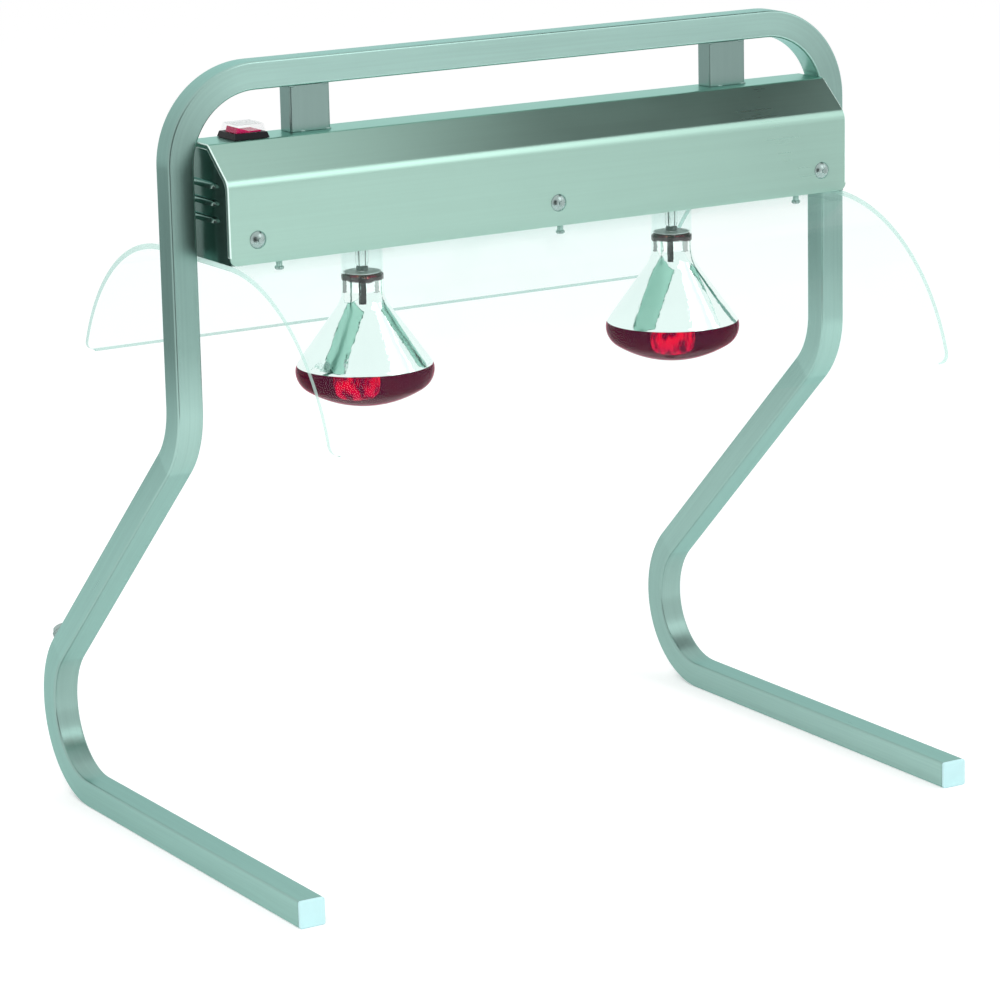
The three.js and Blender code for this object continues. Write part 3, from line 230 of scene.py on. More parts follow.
def smooth(piece, angle=30):
    only(piece)
    bpy.ops.object.shade_smooth_by_angle(angle=math.radians(angle))
    finish_with(piece, "WEIGHTED_NORMAL", keep_sharp=True)


def carve(piece, *cutters):
    """Takes the cutters' shapes out of the piece and removes the cutters."""
    for cutter in cutters:
        finish_with(piece, "BOOLEAN", object=cutter, operation="DIFFERENCE", solver="EXACT")
        bpy.data.objects.remove(cutter)


def merge_pieces(first, *others):
    bpy.ops.object.select_all(action="DESELECT")
    for piece in (first, *others):
        piece.select_set(True)
    bpy.context.view_layer.objects.active = first
    bpy.ops.object.join()
    return first


def rod(name, start, end, radius, sides=24):
    start, end = Vector(start), Vector(end)
    piece = primitive(
        name, "cylinder", radius=radius, depth=(end - start).length, vertices=sides,
        location=(start + end) / 2, rotation=(end - start).to_track_quat("Z", "Y").to_euler(),
    )
    apply_place()
    return piece


def copied(piece, name, place):
    """A copy with its own mesh; place moves or mirrors its points."""
    twin = piece.copy()
    twin.data = piece.data.copy()
    twin.name = twin.data.name = name
    bpy.context.collection.objects.link(twin)
    twin.data.transform(place)
    if place.determinant() < 0:
        twin.data.flip_normals()
    return twin


def turned(name, profile, origin, axis=Z_AXIS, steps=48):
    """Turns a profile of (radius, height) points about an axis through the origin."""
    across = axis.orthogonal().normalized()
    points = [Vector(origin) + across * r + axis * h for r, h in profile]
    piece = primitive(name, "plane", size=1 * MM, location=points[0])
    apply_place()
    with editing(piece):
        bpy.ops.mesh.select_mode(type="VERT")
        select_everything()
        bpy.ops.mesh.merge(type="CENTER")
        for here, there in zip(points, points[1:]):
            bpy.ops.mesh.extrude_region_move(TRANSFORM_OT_translate={"value": there - here})
        select_everything()
        turn(2 * math.pi, Vector(origin), axis, steps)
        tidy_mesh(1e-5)
    return piece


def arc(centre, radius, start, end, steps):
    """Points of a profile on an arc, angles in degrees."""
    angles = [math.radians(start + (end - start) * i / steps) for i in range(steps + 1)]
    return [(centre[0] + radius * math.cos(a), centre[1] + radius * math.sin(a)) for a in angles]


def dressed(node, name, body, finish, edge, angle=30):
    """A merged copy of a CAD node with softened edges, which stands for it."""
    source = frame["nodes"][node]
    piece = bpy.data.objects.new(name, source.data.copy())
    piece.data.materials.clear()
    bpy.context.collection.objects.link(piece)
    with editing(piece):
        tidy_mesh()
        bpy.ops.mesh.dissolve_limited(angle_limit=math.radians(0.5))
    if edge:
        soften(piece, edge, 2, angle)
    smooth(piece, angle)
    return settled(piece, body, finish, node)


def settled(piece, body, finish, *nodes):
    """Gives a finished piece its material and its body."""
    if finish is not None:
        piece.data.materials.clear()
        piece.data.materials.append(finish)
    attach(piece, body)
    if nodes:
        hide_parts(*nodes)
    return piece


def paired(piece, name, place, body, finish, node):
    """Gives the left piece its material and body, and the right side a copy of it."""
    twin = copied(piece, f"{name}_right", place)
    for part, side in ((piece, "left"), (twin, "right")):
        settled(part, body.format(side), finish, f"{node}_{side}")


SLOT_OF = {part["node"]: part["material_slot"] for part in frame["record"]["subparts"]}


# Finishes

TUBE_TONE = (0.39, 0.60, 0.545)
SHEET_TONE = (0.395, 0.605, 0.525)
COAT_END = 117.5 * MM  # height over the face where the bulbs' mirror coat stops
COAT_BAND = 4 * MM
FINE_GRAIN = 480  # scratches of the brushing in a metre across it
COARSE_GRAIN = 160


class Wire:
    """A shader socket that takes part in sums."""

    def __init__(self, finish, socket):
        self.finish = finish
        self.socket = socket

    def math(self, operation, *others, back=False):
        terms = [self, *others]
        if back:
            terms.reverse()
        return self.finish.node("ShaderNodeMath", dict(enumerate(terms)), operation=operation)

    def __add__(self, other):
        return self.math("ADD", other)

    def __radd__(self, other):
        return self.math("ADD", other)

    def __sub__(self, other):
        return self.math("SUBTRACT", other)

    def __rsub__(self, other):
        return self.math("SUBTRACT", other, back=True)

    def __mul__(self, other):
        return self.math("MULTIPLY", other)

    def __pow__(self, other):
        return self.math("POWER", other)

    def clamped(self):
        return self.math("MAXIMUM", 0.0).math("MINIMUM", 1.0)

    def ramp(self, low, high):
        """0 below low, 1 above high, smooth between."""
        return self.finish.node(
            "ShaderNodeMapRange", {0: self, 1: low, 2: high}, interpolation_type="SMOOTHSTEP"
        )


class Finish:
    """A material made of nodes, or the world's light."""

    def __init__(self, owner):
        owner.use_nodes = True
        self.owner = owner
        self.tree = owner.node_tree
        self.tree.nodes.clear()

    def node(self, kind, sockets=None, out=0, **settings):
        """A node whose sockets take values or wires; the settings are its own properties."""
        made = self.tree.nodes.new(kind)
        for name, value in settings.items():
            setattr(made, name, value)
        for key, value in (sockets or {}).items():
            socket = made.inputs[key]
            if isinstance(value, Wire):
                self.tree.links.new(value.socket, socket)
            elif isinstance(value, tuple) and socket.type == "RGBA":
                socket.default_value = (*value[:3], 1)
            else:
                socket.default_value = value
        return Wire(self, made.outputs[out])

    def place(self, scale=(1, 1, 1), offset=(0, 0, 0), attribute=None):
        """Object coordinates, or the piece's own attribute, stretched for a pattern."""
        if attribute:
            source = self.node("ShaderNodeAttribute", out="Vector", attribute_name=attribute)
        else:
            source = self.node("ShaderNodeTexCoord", out="Object")
        return self.node("ShaderNodeMapping", {"Vector": source, "Scale": scale, "Location": offset})

    def noise(self, where, size, detail=3.0, rough=0.5):
        """A pattern with about size features in each metre."""
        return self.node(
            "ShaderNodeTexNoise", {"Vector": where, "Scale": size, "Detail": detail, "Roughness": rough}
        )

    def blend(self, share, first, second):
        """A colour between two colours."""
        return self.node("ShaderNodeMix", {0: share, 6: first, 7: second}, out=2, data_type="RGBA")

    def bump(self, height, depth, strength=1.0):
        return self.node("ShaderNodeBump", {"Height": height, "Distance": depth, "Strength": strength})

    def axis(self, name):
        point = self.node("ShaderNodeTexCoord", out="Object")
        return self.node("ShaderNodeSeparateXYZ", {0: point}, out=name)

    def mix(self, share, first, second):
        """A shader between two shaders."""
        return self.node("ShaderNodeMixShader", {0: share, 1: first, 2: second})

    def seen_through(self, tint):
        return self.node("ShaderNodeBsdfTransparent", {"Color": tint})

    def lit(self, strength):
        return self.node("ShaderNodeEmission", {"Color": WHITE, "Strength": strength})

    def close(self, shader):
        output = self.tree.nodes.new("ShaderNodeOutputMaterial")
        self.tree.links.new(shader.socket, output.inputs["Surface"])
        return self.owner

    def surface(self, **sockets):
        named = {name.replace("_", " "): value for name, value in sockets.items()}
        return self.node("ShaderNodeBsdfPrincipled", named)


def new_finish(name):
    return Finish(bpy.data.materials.new(name))


def brushed_steel(name, grain, tone=SHEET_TONE, gloss=0.27, along_tube=False, streaks=0.04):
    """Stainless steel with a fine grain; grain is the stretch of the pattern along each axis."""
    f = new_finish(name)
    attribute = "grain" if along_tube else None
    fine = f.noise(f.place(grain, attribute=attribute), FINE_GRAIN, 1)
    coarse = f.noise(f.place(grain, (0.3, 0.2, 0.1), attribute), COARSE_GRAIN, 2)
    cloud = f.noise(f.place(attribute=attribute), 9, 2)
    smear = f.noise(f.place(attribute=attribute), 38, 4, 0.6)
    streak = fine * 0.6 + coarse * 0.4
    share = (streak.ramp(0.35, 0.65) * 0.6 + cloud * 0.8 - 0.2).clamped()
    colour = f.blend(share, tuple((1 - streaks) * c for c in tone), tone)
    colour = f.blend(smear.ramp(0.62, 0.8) * 0.1, colour, tuple(0.8 * c for c in tone))
    # painted shade: on the tube the colour is darkened stretch by stretch by its attribute of painted
    # brightness
    if along_tube:
        shine = f.node("ShaderNodeAttribute", out="Fac", attribute_name="painted_brightness")
        colour = f.blend(1 - shine, colour, (0.0, 0.0, 0.0))
    return f.close(f.surface(
        Base_Color=colour,
        Metallic=1.0,
        Specular_Tint=(0.6, 0.84, 0.81),
        Roughness=(gloss - 0.035 + streak * 0.03 + cloud * 0.08).clamped(),
        Normal=f.bump(streak, 0.01 * MM, 0.3),
    ))


def bright_steel(name, tone=(0.66, 0.72, 0.70), gloss=0.16):
    """Plated or polished steel of screws and small fittings."""
    f = new_finish(name)
    wear = f.noise(f.place(), 900, 3)
    dull = f.noise(f.place(), 220, 2)
    return f.close(f.surface(
        Base_Color=f.blend(wear.ramp(0.5, 0.75) * 0.5, tone, tuple(0.7 * c for c in tone)),
        Metallic=1.0,
        Roughness=(gloss + dull * 0.14).clamped(),
        Normal=f.bump(wear, 0.02 * MM, 0.4),
    ))


def moulded(name, colour, gloss=0.4, grain=0.03, size=2200, **extra):
    """Moulded plastic with a fine skin."""
    f = new_finish(name)
    skin = f.noise(f.place(), size, 2)
    patch = f.noise(f.place(), 120, 3)
    return f.close(f.surface(
        Base_Color=f.blend(patch * 0.5, colour, tuple(0.85 * c for c in colour)),
        Roughness=(gloss - 0.05 + patch * 0.12).clamped(),
        Normal=f.bump(skin, grain * MM, 0.5),
        **extra,
    ))


def glint(f):
    """Share of the light that clear glass throws back, the same from both sides."""
    aside = f.node("ShaderNodeLayerWeight", {"Blend": 0.5}, out="Facing")
    return aside**5 * 0.5 + 0.004


def clear(f, tint, gloss, sheen=1.0):
    """Thin clear glass or acrylic: what lies behind shows through, tinted, under a reflection."""
    shine = f.node("ShaderNodeBsdfGlossy", {"Color": (sheen, sheen, sheen), "Roughness": gloss})
    return f.mix(glint(f), f.seen_through(tint), shine)


def clear_sheet(name, tint, gloss=0.02, sheen=1.0):
    """Clear sheet or glass with faint handling marks."""
    f = new_finish(name)
    smear = f.noise(f.place(), 14, 4, 0.6)
    shade = f.blend(smear.ramp(0.4, 0.7) * 0.5, tint, tuple(0.985 * c for c in tint))
    return f.close(clear(f, shade, (gloss + smear.ramp(0.55, 0.8) * 0.04).clamped(), sheen))


def solid_glass(name):
    """Drawn glass of the stem, thick enough to bend what lies behind it."""
    f = new_finish(name)
    wave = f.noise(f.place((1, 1, 0.2)), 300, 2)
    return f.close(f.surface(
        Base_Color=f.blend(wave, (0.97, 0.99, 0.985), (0.9, 0.94, 0.93)),
        Roughness=(wave * 0.04 + 0.01).clamped(),
        IOR=1.45,
        Transmission_Weight=1.0,
    ))


def milky(name, share, tint, front, rear, gloss=0.3):
    """Clear, with a share of pale body that has one colour at the front and another at the rear."""
    f = new_finish(name)
    patch = f.noise(f.place(), 90, 3)
    skin = f.surface(
        Base_Color=f.blend(f.axis("Y").ramp(-0.02, 0.16), front, rear),
        Roughness=(gloss - 0.05 + patch * 0.1).clamped(),
    )
    return f.close(f.mix((patch * 0.1 + share - 0.05).clamped(), f.seen_through(tint), skin))


def mirror_skin(f):
    pull = f.noise(f.place((1, 1, 0.35)), 75, 4)
    speck = f.noise(f.place(), 700, 2)
    return f.surface(
        Base_Color=f.blend(speck.ramp(0.7, 0.82) * 0.3, (0.90, 0.98, 0.95), (0.5, 0.55, 0.53)),
        Metallic=1.0,
        Roughness=(0.02 + pull.ramp(0.4, 0.8) * 0.04).clamped(),
        Normal=f.bump(pull, 0.45 * MM, 0.8),
    )


def mirror_coat(name):
    f = new_finish(name)
    return f.close(mirror_skin(f))


def ruby_glass(name):
    f = new_finish(name)
    ripple = f.noise(f.place(), 60, 2)
    depth = f.noise(f.place(), 25, 2)
    skin = f.surface(
        Base_Color=f.blend(depth, (0.11, 0.0, 0.045), (0.05, 0.004, 0.04)),
        Roughness=(0.03 + ripple * 0.04).clamped(),
        Specular_IOR_Level=0.15,
        Normal=f.bump(ripple, 0.1 * MM, 0.4),
    )
    return f.close(f.mix((depth * 0.2 + 0.25).clamped(), f.seen_through((0.64, 0.01, 0.24)), skin))


def neck_glass(name):
    """The mirror coat ends in an uneven dark band part way up the neck; above it the glass is clear."""
    f = new_finish(name)
    wave = f.noise(f.place(), 34, 3, 0.6)
    rise = f.axis("Z") + (wave - 0.5) * 9 * MM
    edge = BULB_LOW.z + COAT_END
    band = f.surface(
        Base_Color=f.blend(f.noise(f.place(), 300, 2), (0.045, 0.02, 0.03), (0.12, 0.10, 0.10)),
        Roughness=(wave * 0.2 + 0.1).clamped(),
        Metallic=0.5,
    )
    coat = f.mix(rise.ramp(edge - COAT_BAND - 1 * MM, edge - COAT_BAND + 1 * MM), mirror_skin(f), band)
    bare = clear(f, (0.965, 0.99, 0.985), (wave * 0.04 + 0.01).clamped())
    return f.close(f.mix(rise.ramp(edge - 0.8 * MM, edge + 0.8 * MM), coat, bare))


def glowing(name, colour, low_colour, dim, strength, size):
    """A lit coil; the colour changes towards the face, and dim patches lie between the turns."""
    f = new_finish(name)
    flicker = f.noise(f.place((1, 1, 0.6)), size, 3, 0.6)
    rise = f.axis("Z").ramp(BULB_LOW.z + 8 * MM, BULB_LOW.z + 24 * MM)
    return f.close(f.surface(
        Base_Color=(0.02, 0.0, 0.004),
        Roughness=0.6,
        Emission_Color=f.blend(flicker.ramp(0.42, 0.62), f.blend(rise, low_colour, colour), dim),
        Emission_Strength=strength,
    ))


tube_steel = brushed_steel("brushed_tube", (1, 1, 0.02), TUBE_TONE, along_tube=True, streaks=0.1)
sheet_steel = brushed_steel("brushed_sheet", (0.012, 1, 1))
# painted highlight: a pale non-metal finish on the rounded end folds of the housing stands in for the bright
# line of light along them
fold_highlight_finish = moulded("painted_highlight_fold", (0.74, 0.92, 0.86), 0.5)
# painted shade: the end plates get a darker tone of the same brushed steel, standing in for the shade they
# lie in
end_steel_painted_shade = brushed_steel("brushed_end", (1, 0.012, 1), (0.25, 0.35, 0.315), 0.18)
# painted shade: the uprights get a darker tone of the tube's brushed steel
post_steel_painted_shade = brushed_steel("brushed_post", (1, 1, 0.02), (0.25, 0.36, 0.335))
plated = bright_steel("plated_steel")
# painted shade: a darker tone of the plated steel stands in for the dark surroundings that the screw heads
# and the gland reflect
screw_steel_painted_shade = bright_steel("screw_steel_painted_shade", (0.36, 0.46, 0.44), 0.2)
band_steel = bright_steel("bracket_steel", (0.5, 0.53, 0.52), 0.3)
dark_wire = bright_steel("dark_wire", (0.10, 0.11, 0.11), 0.35)
brass = bright_steel("brass", (0.75, 0.56, 0.26), 0.22)
clear_arch = clear_sheet("clear_arch", (0.972, 0.997, 0.994))
# the guard's edges: the pale green is the glass's own tint along the sheet; their darker colour towards the
# rear is painted shade
arch_edge = milky("arch_edge", 0.5, (0.82, 0.96, 0.92), (0.64, 0.9, 0.83), (0.36, 0.62, 0.56))
clear_cover = clear_sheet("clear_cover", (0.985, 0.99, 0.99), sheen=0.3)
COVER_PALE = (0.72, 0.80, 0.80)
cover_top = milky("cover_top", 0.45, (0.95, 0.96, 0.96), COVER_PALE, COVER_PALE, 0.2)
stem_glass = solid_glass("stem_glass")
heat_disc = moulded("heat_disc", (0.92, 0.98, 0.96), 0.4)
mirror = mirror_coat("mirror_coat")
neck_coat = neck_glass("neck_coat")
ruby = ruby_glass("ruby_glass")
cap_plastic = moulded("pale_cap", (0.58, 0.88, 0.90), 0.45)
black_plastic = moulded("black_plastic", (0.006, 0.006, 0.008), 0.4, 0.02, Specular_IOR_Level=0.15)
red_plastic = moulded("red_rocker", (0.62, 0.006, 0.11), 0.25, 0.01, Specular_IOR_Level=0.3)
ceramic = moulded("glazed_ceramic", (0.80, 0.77, 0.70), 0.25, 0.02, 900)
brown_lead = moulded("brown_lead", (0.13, 0.045, 0.015), 0.5)
blue_lead = moulded("blue_lead", (0.02, 0.08, 0.32), 0.5)
filament_glow = glowing("filament_glow", (1.0, 0.34, 0.16), (1.0, 0.34, 0.16), (0.6, 0.2, 0.1), 3.0, 300)
# glow dome: partly the lit coil's own light, partly painted glow standing in for the coil's reflections in
# the mirror
coil_glow = glowing("coil_glow", (1.0, 0.05, 0.14), (0.85, 0.0, 0.36), (0.12, 0.0, 0.09), 5.0, 130)


# Stand


def round_the_section(piece):
    """The plane's corners become the tube's rounded edges and its face goes, which leaves a ring."""
    select_everything()
    bevel(TUBE_EDGE, 3, affect="VERTICES")
    select_everything()
    bpy.ops.mesh.delete(type="ONLY_FACE")
    select_everything()


# painted shade: how bright the tube's colour is painted on each stretch against its top bar, standing in for
# the light its reflections get
LEFT_LEG_PAINTED_BRIGHTNESS = 0.64
RIGHT_LEG_PAINTED_BRIGHTNESS = 0.8
KNEE_PAINTED_BRIGHTNESS = 0.9
SLANT_PAINTED_BRIGHTNESS = 0.8
REAR_PAINTED_BRIGHTNESS = 0.76
FOOT_PAINTED_BRIGHTNESS = 0.84
SHADED_LEG = 60 * MM  # a leg's painted brightness goes from the knee's to its own over this height


def way_along(point):
    """Where a point of the tube lies across and along it, and the painted brightness of its stretch, a
    painted shade on its colour.
    """
    x, y, z = abs(point.x), point.y, point.z
    from_rear = Vector((0, y - REAR_BEND_Y, z - REAR_BEND_Z))
    from_knee = Vector((0, y - KNEE_CENTRE.y, z - KNEE_CENTRE.z))
    up_slant = from_rear.dot(AHEAD)
    to_rear = REAR_BEND_Y - STAND_LOW.y
    to_slant = to_rear + BEND * REAR_TURN
    to_leg = to_slant + SLANT + BEND * LEAN
    to_top = to_leg + TOP_BEND_Z - KNEE_CENTRE.z
    sideways, outwards = x - LEG_X, y - LEG_Y
    if z > TOP_BEND_Z - SLACK and x < LEG_X - BEND + SLACK:
        along = to_top + BEND * math.pi / 2 + LEG_X - BEND - x
        return (z - STAND_HIGH.z + HALF_TUBE, outwards, along), 1.0
    dull = LEFT_LEG_PAINTED_BRIGHTNESS if point.x < 0 else RIGHT_LEG_PAINTED_BRIGHTNESS
    if z > TOP_BEND_Z - SLACK:
        across, rise = x - LEG_X + BEND, z - TOP_BEND_Z
        angle = math.atan2(rise, across)
        shine = dull + (1.0 - dull) * min(max(angle - 0.35, 0), 1)
        return (math.hypot(across, rise) - BEND, outwards, to_top + BEND * angle), shine
    if z > KNEE_CENTRE.z - SLACK:
        shine = KNEE_PAINTED_BRIGHTNESS + (dull - KNEE_PAINTED_BRIGHTNESS) * min((z - KNEE_CENTRE.z) / SHADED_LEG, 1)
        return (sideways, outwards, to_leg + z - KNEE_CENTRE.z), shine
    if z > REAR_BEND_Z and up_slant > SLANT + SLACK:
        angle = math.atan2(-from_knee.z, -from_knee.y)
        return (sideways, BEND - from_knee.length, to_leg - BEND * angle), KNEE_PAINTED_BRIGHTNESS
    if z > REAR_BEND_Z and up_slant > -SLACK:
        return (sideways, -from_rear.dot(INWARDS) - BEND, to_slant + up_slant), SLANT_PAINTED_BRIGHTNESS
    if y > REAR_BEND_Y - SLACK:
        angle = math.atan2(from_rear.y, -from_rear.z)
        return (sideways, from_rear.length - BEND, to_rear + BEND * angle), REAR_PAINTED_BRIGHTNESS
    return (sideways, HALF_TUBE - z, y - STAND_LOW.y), FOOT_PAINTED_BRIGHTNESS


def make_stand():
    tube = primitive("stand", "plane", size=TUBE, rotation=(math.pi / 2, 0, 0))
    apply_place()
    start = Vector((-LEG_X, STAND_LOW.y, HALF_TUBE))
    with editing(tube):
        round_the_section(tube)
        bpy.ops.transform.translate(value=start)
        extrude((0, REAR_BEND_Y - start.y, 0))
        turn(REAR_TURN, REAR_CENTRE, X_AXIS, 40)
        extrude(AHEAD * SLANT)
        turn(-LEAN, KNEE_CENTRE, X_AXIS, 16)
        for _ in range(8):
            extrude((0, 0, (TOP_BEND_Z - KNEE_CENTRE.z) / 8))
        turn(math.pi / 2, (-LEG_X + BEND, LEG_Y, TOP_BEND_Z), Y_AXIS, 28)
        for _ in range(4):
            extrude(((LEG_X - BEND) / 4, 0, 0))
    finish_with(tube, "MIRROR", use_axis=(True, False, False), merge_threshold=0.05 * MM)
    with editing(tube):
        tidy_mesh()
    finish_with(tube, "SOLIDIFY", thickness=TUBE_WALL, offset=-1)
    smooth(tube, 40)
    # each point of the tube gets the way of its grain and its painted brightness, which paints shade into its
    # colour
    for name, kind in (("grain", "FLOAT_VECTOR"), ("painted_brightness", "FLOAT")):
        tube.data.attributes.new(name, kind, "POINT")
    grain, painted_brightness = (tube.data.attributes[name].data for name in ("grain", "painted_brightness"))
    for vertex, lie, shine in zip(tube.data.vertices, grain, painted_brightness):
        lie.vector, shine.value = way_along(vertex.co)
    return settled(tube, "lamp", tube_steel, "stand_tube")


def make_foot_caps():
    low, high, front = CAP_LOW, CAP_HIGH, STAND_LOW.y
    cap = block("cap_left", (low.x, low.y, low.z), (high.x, front - GAP, high.z))
    with editing(cap):
        pick("EDGE", lambda edge, at: runs_along(edge, Y_AXIS))
        bevel(TUBE_EDGE, 5)
        pick("FACE", lambda face, at: face.normal.y > ALIGNED)
        bpy.ops.mesh.inset(thickness=TUBE_WALL + GAP)
        extrude((0, high.y - front + GAP, 0))
        pick("FACE", lambda face, at: face.normal.y < -ALIGNED)
        bevel(0.7 * MM, 3)
    soften(cap, 0.25 * MM, 2)
    smooth(cap, 35)
    paired(cap, "cap", Matrix.Scale(-1, 4, X_AXIS), "lamp", cap_plastic, "foot_cap")


def tack_weld(name, place, size):
    """A small flattened bead of weld metal."""
    bead = primitive(name, "ico_sphere", subdivisions=3, radius=1, location=place)
    bead.scale = size
    apply_place()
    return bead


def make_posts():
    low, high = POST_LOW, POST_HIGH
    post = block("upright_left", low, high)
    with editing(post):
        pick("FACE", lambda face, at: abs(face.normal.z) > ALIGNED)
        bpy.ops.mesh.delete(type="FACE")
        pick("EDGE", lambda edge, at: runs_along(edge, Z_AXIS))
        bevel(TUBE_EDGE, 4)
    finish_with(post, "SOLIDIFY", thickness=TUBE_WALL, offset=-1)
    smooth(post, 40)
    front = low.y + 0.4 * MM
    beads = [
        tack_weld(f"bead_{i}", place, (3.2 * MM, 1.0 * MM, 1.3 * MM))
        for i, place in enumerate([
            (low.x + 2 * MM, front, high.z), (high.x - 5 * MM, front, high.z),
            (high.x - 2.5 * MM, front, low.z), (low.x + 12 * MM, front, low.z),
        ])
    ]
    post = merge_pieces(post, *beads)
    right_low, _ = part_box("post_right")
    shift = Matrix.Translation((right_low.x - low.x, 0, 0))
    paired(post, "upright", shift, "lamp", post_steel_painted_shade, "post")


# Housing


def make_housing():
    low, high = SHELL_LOW, SHELL_HIGH
    shell = block("housing", low, high)
    slope = Vector((0, (high.y - low.y - FLAT) / 2, high.z - SHOULDER_Z))
    shoulder_fold = (math.pi / 2 - math.atan2(slope.z, slope.y)) / 2
    top_fold = math.atan2(slope.z, slope.y) / 2

    def folds(edge, at, z0, z1):
        a, b = edge.verts
        in_end = abs(a.co.x - b.co.x) < SLACK and abs(abs(at.x) - high.x) < SLACK
        slant = abs((a.co - b.co).y) > 0.5 * MM and abs((a.co - b.co).z) > 0.5 * MM
        along = abs(a.co.x - b.co.x) > 100 * MM
        return (along or (in_end and slant and (a.co - b.co).length < 9 * MM)) and z0 < at.z < z1

    with editing(shell):
        select_everything()
        bpy.ops.mesh.bisect(plane_co=(0, 0, SHOULDER_Z), plane_no=(0, 0, 1))
        pick("VERT", lambda vertex, at: at.z > high.z - SLACK)
        bpy.ops.transform.resize(
            value=(1, FLAT / (high.y - low.y), 1), center_override=(0, LAMP_Y, high.z)
        )
        # the two faces of each end become one, then the lip is what an inset leaves
        for side in (-1, 1):
            pick("FACE", lambda face, at: face.normal.x * side > ALIGNED)
            bpy.ops.mesh.dissolve_faces()
            pick("FACE", lambda face, at: face.normal.x * side > ALIGNED)
            bpy.ops.mesh.inset(thickness=END_LIP, use_even_offset=True)
            bpy.ops.mesh.delete(type="FACE")
        pick("FACE", lambda face, at: at.z < low.z + END_LIP * 0.9)
        bpy.ops.mesh.delete(type="FACE")
        pick("EDGE", lambda edge, at: folds(edge, at, SHOULDER_Z - 9 * MM, SHOULDER_Z + 3 * MM))
        bevel(SHOULDER_RADIUS * math.tan(shoulder_fold), 8)
        pick("EDGE", lambda edge, at: folds(edge, at, high.z - 9 * MM, high.z + 1 * MM))
        bevel(TOP_RADIUS * math.tan(top_fold), 5)
        # the lips end above the rounded lower corners of the skirts
        select_everything()
        bpy.ops.mesh.bisect(plane_co=(0, 0, low.z + SKIRT_CORNER), plane_no=(0, 0, 1))
        pick("FACE", lambda face, at: abs(face.normal.x) > ALIGNED and at.z < low.z + SKIRT_CORNER)
        bpy.ops.mesh.delete(type="FACE")
        pick("VERT", lambda vertex, at: at.z < low.z + SLACK and abs(at.x) > high.x - SLACK)
        bevel(SKIRT_CORNER * 0.98, 6, affect="VERTICES")
        tidy_mesh()
    finish_with(shell, "SOLIDIFY", thickness=SHEET, offset=-1, use_even_offset=True)

    def end_fold(edge, at):
        if abs(at.x) < high.x - 0.05 * MM or at.z < low.z + SKIRT_CORNER or len(edge.link_faces) < 2:
            return False
        return abs(edge.link_faces[0].normal.dot(edge.link_faces[1].normal)) < 0.3

    with editing(shell):
        pick("EDGE", end_fold)
        bevel(HIGHLIGHT_FOLD_EDGE, 3)
    soften(shell, 0.3 * MM, 2, 40)
    shell.data.materials.append(sheet_steel)
    shell.data.materials.append(fold_highlight_finish)
    # the rounded folds at the ends get the painted highlight
    for face in shell.data.polygons:
        on_highlight_fold = abs(face.center.x) > high.x - 1 * MM and 0.1 < abs(face.normal.x) < 0.97
        face.material_index = int(on_highlight_fold and face.center.z > low.z + SKIRT_CORNER)
    smooth(shell, 35)
    return settled(shell, "lamp", None, "housing_shell")


SOCKET_DEPTH = 2.7 * MM
SOCKET_RADIUS = 2.5 * MM
SIDES = ("front", "rear")
THIRDS = ("left", "middle", "right")


def make_skirt_screws():
    """Dome heads with a hexagon socket, three in each skirt."""
    low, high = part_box("front_screw_left")
    face = SHELL_LOW.y - GAP
    head, rise = (high.x - low.x) / 2, face - low.y
    middle = Vector(((low.x + high.x) / 2, face, (low.z + high.z) / 2))
    shank = high.y - face
    dome_radius = (head**2 + rise**2) / (2 * rise)
    rim_angle = math.degrees(math.acos(head * 0.985 / dome_radius))
    dome = arc((0, rise - dome_radius), dome_radius, 90, rim_angle, 10)
    profile = [
        *dome, (head, dome[-1][1] - 0.35 * MM), (head, 0.2 * MM), (head - 0.3 * MM, 0),
        (3 * MM, 0), (3 * MM, -shank + 0.8 * MM), (2.4 * MM, -shank), (0, -shank),
    ]
    screw = turned("skirt_screw", profile, middle, -Y_AXIS, 48)
    floor, mouth = (middle - Y_AXIS * (rise + step) for step in (-SOCKET_DEPTH, 1 * MM))
    socket = rod("socket", floor, mouth, SOCKET_RADIUS, 6)
    carve(screw, socket)
    soften(screw, 0.18 * MM, 2, 40)
    smooth(screw, 35)
    for side in SIDES:
        for third in THIRDS:
            name = f"{side}_screw_{third}"
            a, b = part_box(name)
            shift = Matrix.Translation(((a.x + b.x) / 2 - middle.x, 0, 0))
            if side == "rear":
                shift = Matrix.Translation((0, 2 * LAMP_Y, 0)) @ Matrix.Scale(-1, 4, Y_AXIS) @ shift
            settled(copied(screw, f"skirt_screw_{side}_{third}", shift), "lamp", screw_steel_painted_shade, name)
    bpy.data.objects.remove(screw)


# Guard


def guard_corner(side, low_z, y0, y1):
    """What is cut away at a lower corner of the sheet."""
    end = GUARD_HIGH.x
    reach = end - GUARD_CORNER
    corner = block("corner", (min(side * reach, side * (end + 2 * MM)), y0, low_z - 2 * MM),
                   (max(side * reach, side * (end + 2 * MM)), y1, low_z + GUARD_CORNER))
    carve(corner, rod("round", (side * reach, y0 - 1 * MM, low_z + GUARD_CORNER),
                      (side * reach, y1 + 1 * MM, low_z + GUARD_CORNER), GUARD_CORNER, 64))
    return corner


def across_the_sheet(at):
    """Direction through the thickness of the guard at a point of it."""
    if at.y < GUARD_FRONT_Y:
        return Vector((0, at.y - GUARD_FRONT_Y, at.z - GUARD_CENTRE_Z)).normalized()
    if at.y > GUARD_REAR_Y:
        return Vector((0, at.y - GUARD_REAR_Y, at.z - GUARD_CENTRE_Z)).normalized()
    return Z_AXIS


CUT_REACH = Z_AXIS * 9 * MM  # how far a cutter reaches past the guard's top on each side


